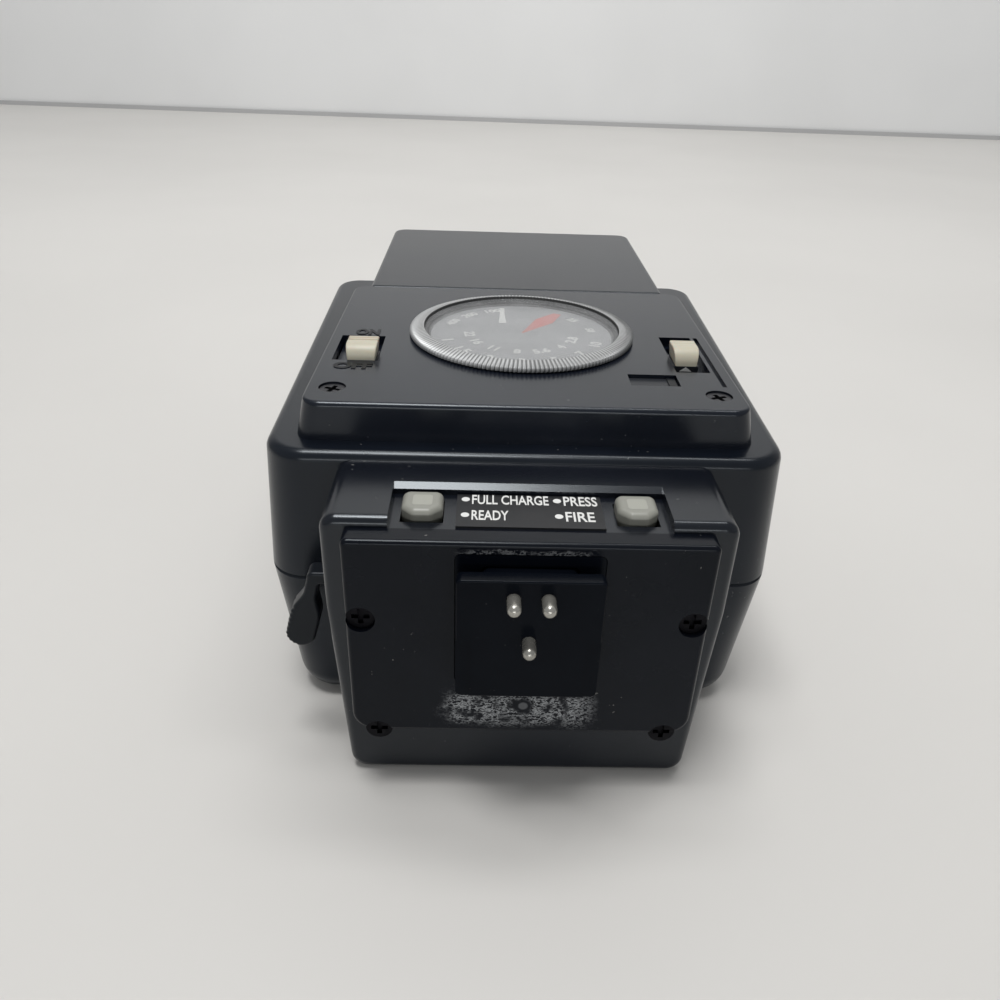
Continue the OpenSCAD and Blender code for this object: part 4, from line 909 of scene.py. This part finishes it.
# small solid marks: an outline in x and y, sunk a little into the face that it is printed on
def printMark(outline, face, thick=printThick):
    low = face - printThick / 2
    return prism(freeRing(outline), "z", low, low + thick)


# the ring's profile has the columns that turned() names; numbers stand in arcs, with the angles of
# the first and the last
dial = {"profile": [(15.2, 50.5, 0, 0), (17.05, 50.5, 0, 0), (17.05, 52.1, 0, 0),
                    (18.9, 52.1, 0.6, 0), (19.35, 52.3, 1, 0), (19.35, 52.8, 1, 0),
                    (19.2, 53.0, 0.9, 0.3), (18.95, 53.1, 0.6, 0.5), (18.6, 53.18, 0.3, 0.4),
                    (18.2, 53.26, 0.1, 0.2), (17.8, 53.34, 0, 0.05), (17.3, 53.44, 0, 0),
                    (17.05, 53.5, 0, 0), (16.9, 53.5, 0, 0), (dialBore, 53.4, 0, 0),
                    (dialBore, 52.2, 0, 0), (16.0, 52.2, 0, 0), (16.0, 51.1, 0, 0),
                    (15.2, 51.1, 0, 0)],
        "flute": 0.16, "stepsPerTooth": 6, "card": 15.6, "cardThick": 0.04, "face": 51.92,
        "arcs": [{"radius": 9.0, "size": 2.5, "first": 186, "last": 342,
                  "numbers": ("22", "16", "11", "8", "5.6", "4", "2.8")},
                 {"radius": 13.3, "size": 2.7, "first": 198, "last": 340,
                  "numbers": ("1", "1.5", "2", "3", "5", "7", "10")},
                 {"radius": 13.2, "size": 2.2, "first": 156, "last": 112,
                  "numbers": ("400", "200", "100")},
                 {"radius": 12.6, "size": 2.0, "first": 40, "last": 12, "numbers": ("25", "50")}],
        "flip": 0.2, "weight": 0.03, "wedgeTurn": 58, "wedgeThick": 0.05,
        "wedge": [(0.4, -0.12), (0.4, 0.12), (8.3, 1.75), (13.4, 0.75), (13.4, -0.75),
                  (8.3, -1.75)],
        "bar": [(-3.9, -3.0), (-2.5, -3.0), (-2.75, 1.0), (-2.75, 5.6), (-3.65, 5.6),
                (-3.65, 1.0)]}


# numbers read from the foot's side: their tops point to the centre on the near side and outwards
# on the far side
def dialNumbers():
    d = dial
    words = []
    for arc in d["arcs"]:
        turns = np.radians(np.linspace(arc["first"], arc["last"], len(arc["numbers"])))
        for number, angle in zip(arc["numbers"], turns):
            place = (dialCentre[0] + arc["radius"] * math.cos(angle),
                     dialCentre[1] + arc["radius"] * math.sin(angle), d["face"])
            quarter = math.pi / 2 if math.sin(angle) < d["flip"] else -math.pi / 2
            words.append(letterMesh(number, arc["size"], place, d["weight"], angle + quarter))
    return words


def makeDial():
    d = dial
    angle = fullTurn(dialTeeth * d["stepsPerTooth"])
    flutes = -d["flute"] * (1 - np.cos(angle * dialTeeth))
    piece("knurled_ring", turned(d["profile"], dialCentre, angle, flutes), "ring", "dial",
          "ring_plastic", ("dial_ring",), sharp=55, weighted=False)
    # the printed card hides the rivet below it
    card = rod("z", dialCentre, d["card"], d["face"] - d["cardThick"], d["face"], 128)
    piece("dial_card", card, "scale", "body", "scale_print", weighted=False)
    joinMeshes("dial_numbers", dialNumbers(), "white", "scale_print")
    way = directions(math.radians(d["wedgeTurn"]))
    beside = np.array([way[1], -way[0]])
    wedge = [dialCentre + way * a + beside * b for a, b in d["wedge"]]
    piece("red_wedge", printMark(wedge, d["face"], d["wedgeThick"]), "red", "body", "scale_print",
          weighted=False)
    piece("white_bar", printMark(d["bar"], d["face"]), "white", "body", "scale_print",
          weighted=False)


makeDial()
print("dial made")

# switch words: word, letter size, place and width
switchWords = [("ON", 3.6, (-26.4, -10.1, 52.03), 4.1), ("OFF", 3.2, (-26.8, -25.9, 52.03), 6.1)]
joinMeshes("switch_words", [letterMesh(word, size, place, 0.05, wide=wide, thick=0.14)
                            for word, size, place, wide in switchWords], "mark")

# strip between lamp and button: word, row, and its left and right end
strip = {"face": 43.9, "rows": (-52.45, -56.4), "dots": (-8.45, 3.75), "dotRadius": 0.55,
         "dotSides": 20, "size": 3.3, "weight": 0.015,
         "words": [("FULL CHARGE", 0, -7.6, 2.6), ("READY", 1, -7.6, -2.8),
                   ("PRESS", 0, 4.6, 9.1), ("FIRE", 1, 4.6, 8.4)]}


def makeStrip():
    v = strip
    meshes = []
    for word, row, left, right in v["words"]:
        place = ((left + right) / 2, v["rows"][row], v["face"])
        meshes.append(letterMesh(word, v["size"], place, v["weight"], wide=right - left))
    dot = v["dotRadius"] * directions(fullTurn(v["dotSides"]))
    for x in v["dots"]:
        for y in v["rows"]:
            meshes.append(newMesh("dot", printMark(dot + (x, y), v["face"])))
    joinMeshes("strip_marks", meshes, "white", "label_print")


makeStrip()
print("lettering made")

springs = {"wire": 0.2, "wireSides": 10, "turns": 5, "closed": 0.8, "steps": 32,
           "pinRadius": 1.4, "pinEnds": (-58.4, -54.4), "pinKeep": 0.6,
           "buttonPlace": (keyMiddle, -55.2), "buttonRadius": 2.2, "buttonEnds": (37.6, 40.5),
           "buttonKeep": 0.724}


# coil: a round wire carried round a helix whose rise is level for part of a turn at both ends
def coil(axis, centre, radius, low, high):
    v = springs
    wire = v["wire"]
    turn = np.linspace(0, v["turns"], v["turns"] * v["steps"] + 1)[:, None]
    rise = np.clip((turn - v["closed"]) / (v["turns"] - 2 * v["closed"]), 0, 1)
    around = fullTurn(v["wireSides"])[None]
    reach = (radius - wire + wire * np.cos(around))[..., None]
    along = low + wire + (high - low - 2 * wire) * rise + wire * np.sin(around)
    points, faces = loft(np.array(centre) + reach * directions(2 * np.pi * turn), along)
    return points[:, axisOrder[axis]], faces


def makeCoil(name, shape, stands):
    return piece(name, shape, "steel", "body", "plain_steel", stands, sharp=60, weighted=False)


# springs: coils round the three contact pins and under the button, each given a mesh of its own
def makeSprings():
    v = springs
    for side, (x, z) in pinPlaces.items():
        shape = coil("y", (x, z), v["pinRadius"], *v["pinEnds"])
        made = makeCoil(f"pin_coil_{side}", shape, (f"pin_spring_{side}",))
        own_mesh(made)
    x, y = v["buttonPlace"]
    shape = coil("z", (x, y), v["buttonRadius"], *v["buttonEnds"])
    made = makeCoil("button_coil", shape, ("button_spring",))
    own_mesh(made)


makeSprings()

flashLens = {"half": 25.4, "near": 40.7, "far": 65.5, "front": 0.3, "back": 2.6, "pitch": 1.27,
             "depth": 0.32, "points": 401,
             "flange": ((-26.6, 39.5, 2.45), (26.6, 66.7, 3.6), 0.5, 0.1)}


# flash window: ridges across its front are a cosine of x, with a flange behind them
def makeLens():
    v = flashLens
    x = np.linspace(-v["half"], v["half"], v["points"])
    wave = 1 - np.cos(2 * np.pi * x / v["pitch"])
    outline = np.concatenate([np.stack([x, v["front"] + v["depth"] / 2 * wave], 1),
                              [[v["half"], v["back"]], [-v["half"], v["back"]]]])
    piece("flash_lens", prism(freeRing(outline), "y", v["near"], v["far"]), "clear", "body",
          "clear_plastic", ("flash_window",), joined(block(*v["flange"])), sharp=50,
          weighted=False)


makeLens()
print("springs and flash window made")

# finishes of the solids that keep their own shape
solidPaints = {
    "foot": ("clamp_plate",), "screw": ("panel_screws", "shell_screws"),
    # the cover screws take the copy of the screw finish with painted shade
    "shadedScrew": ("cover_screws",),
    "steel": ("base_screws", "foot_nut", "tube_caps", "scale_rivet"),
    "pin": ("contact_pin_centre", "contact_pin_left", "contact_pin_right"),
    "brass": ("sync_contact", "near_contacts", "far_contacts"),
    "panel": ("power_switch", "mode_switch"), "shell": ("battery_door",),
    "inner": ("test_switch", "battery_tray", "contact_block", "power_transistor", "sensor_cell"),
    "copper": ("trigger_coil",), "slit": ("panel_window",), "scale": ("dial_scale",),
    "dialClear": ("dial_glass",), "clear": ("flash_tube",), "label": ("label_strip",),
    "neon": ("lamp_bulb",), "tint": ("sensor_lens",),
    "wrap": ("battery_cell_1", "battery_cell_2", "battery_cell_3", "battery_cell_4"),
    "board": ("main_board", "switch_board"), "sleeve": ("main_capacitor",),
    "ferrite": ("transformer",), "mirror": ("reflector",)}
for paint, names in solidPaints.items():
    for name in names:
        mesh = nodes[name].data
        mesh.materials.clear()
        mesh.materials.append(paints[paint])

# floor and wall with a darker strip of painted shade along the wall's foot, in metres and degrees
stage = {"floor": (0.605, 0.59, 0.565), "wall": (0.80, 0.80, 0.795), "joint": (0.45, 0.45, 0.45),
         "half": 3, "floorNear": -3, "floorFar": 1.6, "wallPlace": 0.83, "wallTurn": -2.2,
         "wallEnds": (-0.01, 2.2), "shadeGap": 0.002, "shadeEnds": (0, 0.004)}


def stagePaint(name, colour):
    paint, tree, shader, where = newPaint(name)
    cloud = where.noise(5, 3, 0.5)
    ribs = where.noise(160, 1, 0.5, (1, 0.02, 1))
    feed(tree, shader, Base_Color=cloud.step(0.3, 0.7).mix(solid(colour), solid(colour, 0.95)),
         Roughness=0.42 + cloud * 0.1, Normal=ribs.bump(0.05, 0.4 * mm))
    return paint


def stagePlane(name, corners):
    mesh = bpy.data.meshes.new(name)
    mesh.from_pydata(corners, [], [(0, 1, 2, 3)])
    mesh.materials.append(stagePaint(name, stage[name]))
    made = newObject(name, mesh)


def upright(place, low, high):
    half = stage["half"]
    lean = half * math.tan(math.radians(stage["wallTurn"]))
    return [(-half, place - lean, low), (half, place + lean, low),
            (half, place + lean, high), (-half, place - lean, high)]


def makeStage():
    s = stage
    ground = box2(-s["half"], s["floorNear"], s["half"], s["floorFar"])
    stagePlane("floor", [corner + (0,) for corner in ground])
    stagePlane("wall", upright(s["wallPlace"], *s["wallEnds"]))
    # painted shade: a darker strip 4 mm tall just in front of the wall's foot
    stagePlane("joint", upright(s["wallPlace"] - s["shadeGap"], *s["shadeEnds"]))


makeStage()

# soft lights in metres and watts
lights = {"ceiling": {"place": (-0.12, -0.12, 1.0), "aim": (-0.02, 0.02, 0), "size": (0.34, 0.26),
                      "power": 5.6},
          "wallWash": {"place": (0.1, 0.25, 1.2), "aim": (0.1, 0.85, 0.5), "size": (0.8, 0.3),
                       "power": 6.6},
          "front": {"place": (0.0, -0.75, 0.15), "aim": (0, -0.05, 0.04), "size": (0.5, 0.06),
                    "power": 0.9}}
sky = {"Color": (0.96, 0.98, 1.0, 1), "Strength": 0.36}


def softLight(name, place, aim, size, power):
    lamp = bpy.data.lights.new(name, "AREA")
    lamp.shape = "RECTANGLE"
    lamp.size, lamp.size_y = size
    lamp.energy = power
    made = newObject(name, lamp)
    made.location = place
    made.rotation_euler = (Vector(aim) - Vector(place)).to_track_quat("-Z", "Y").to_euler()


for name, settings in lights.items():
    softLight(name, **settings)
scene.world = bpy.data.worlds.new("studio")
scene.world.use_nodes = True
plug(scene.world.node_tree, scene.world.node_tree.nodes["Background"].inputs, sky)
print("stage and light made")
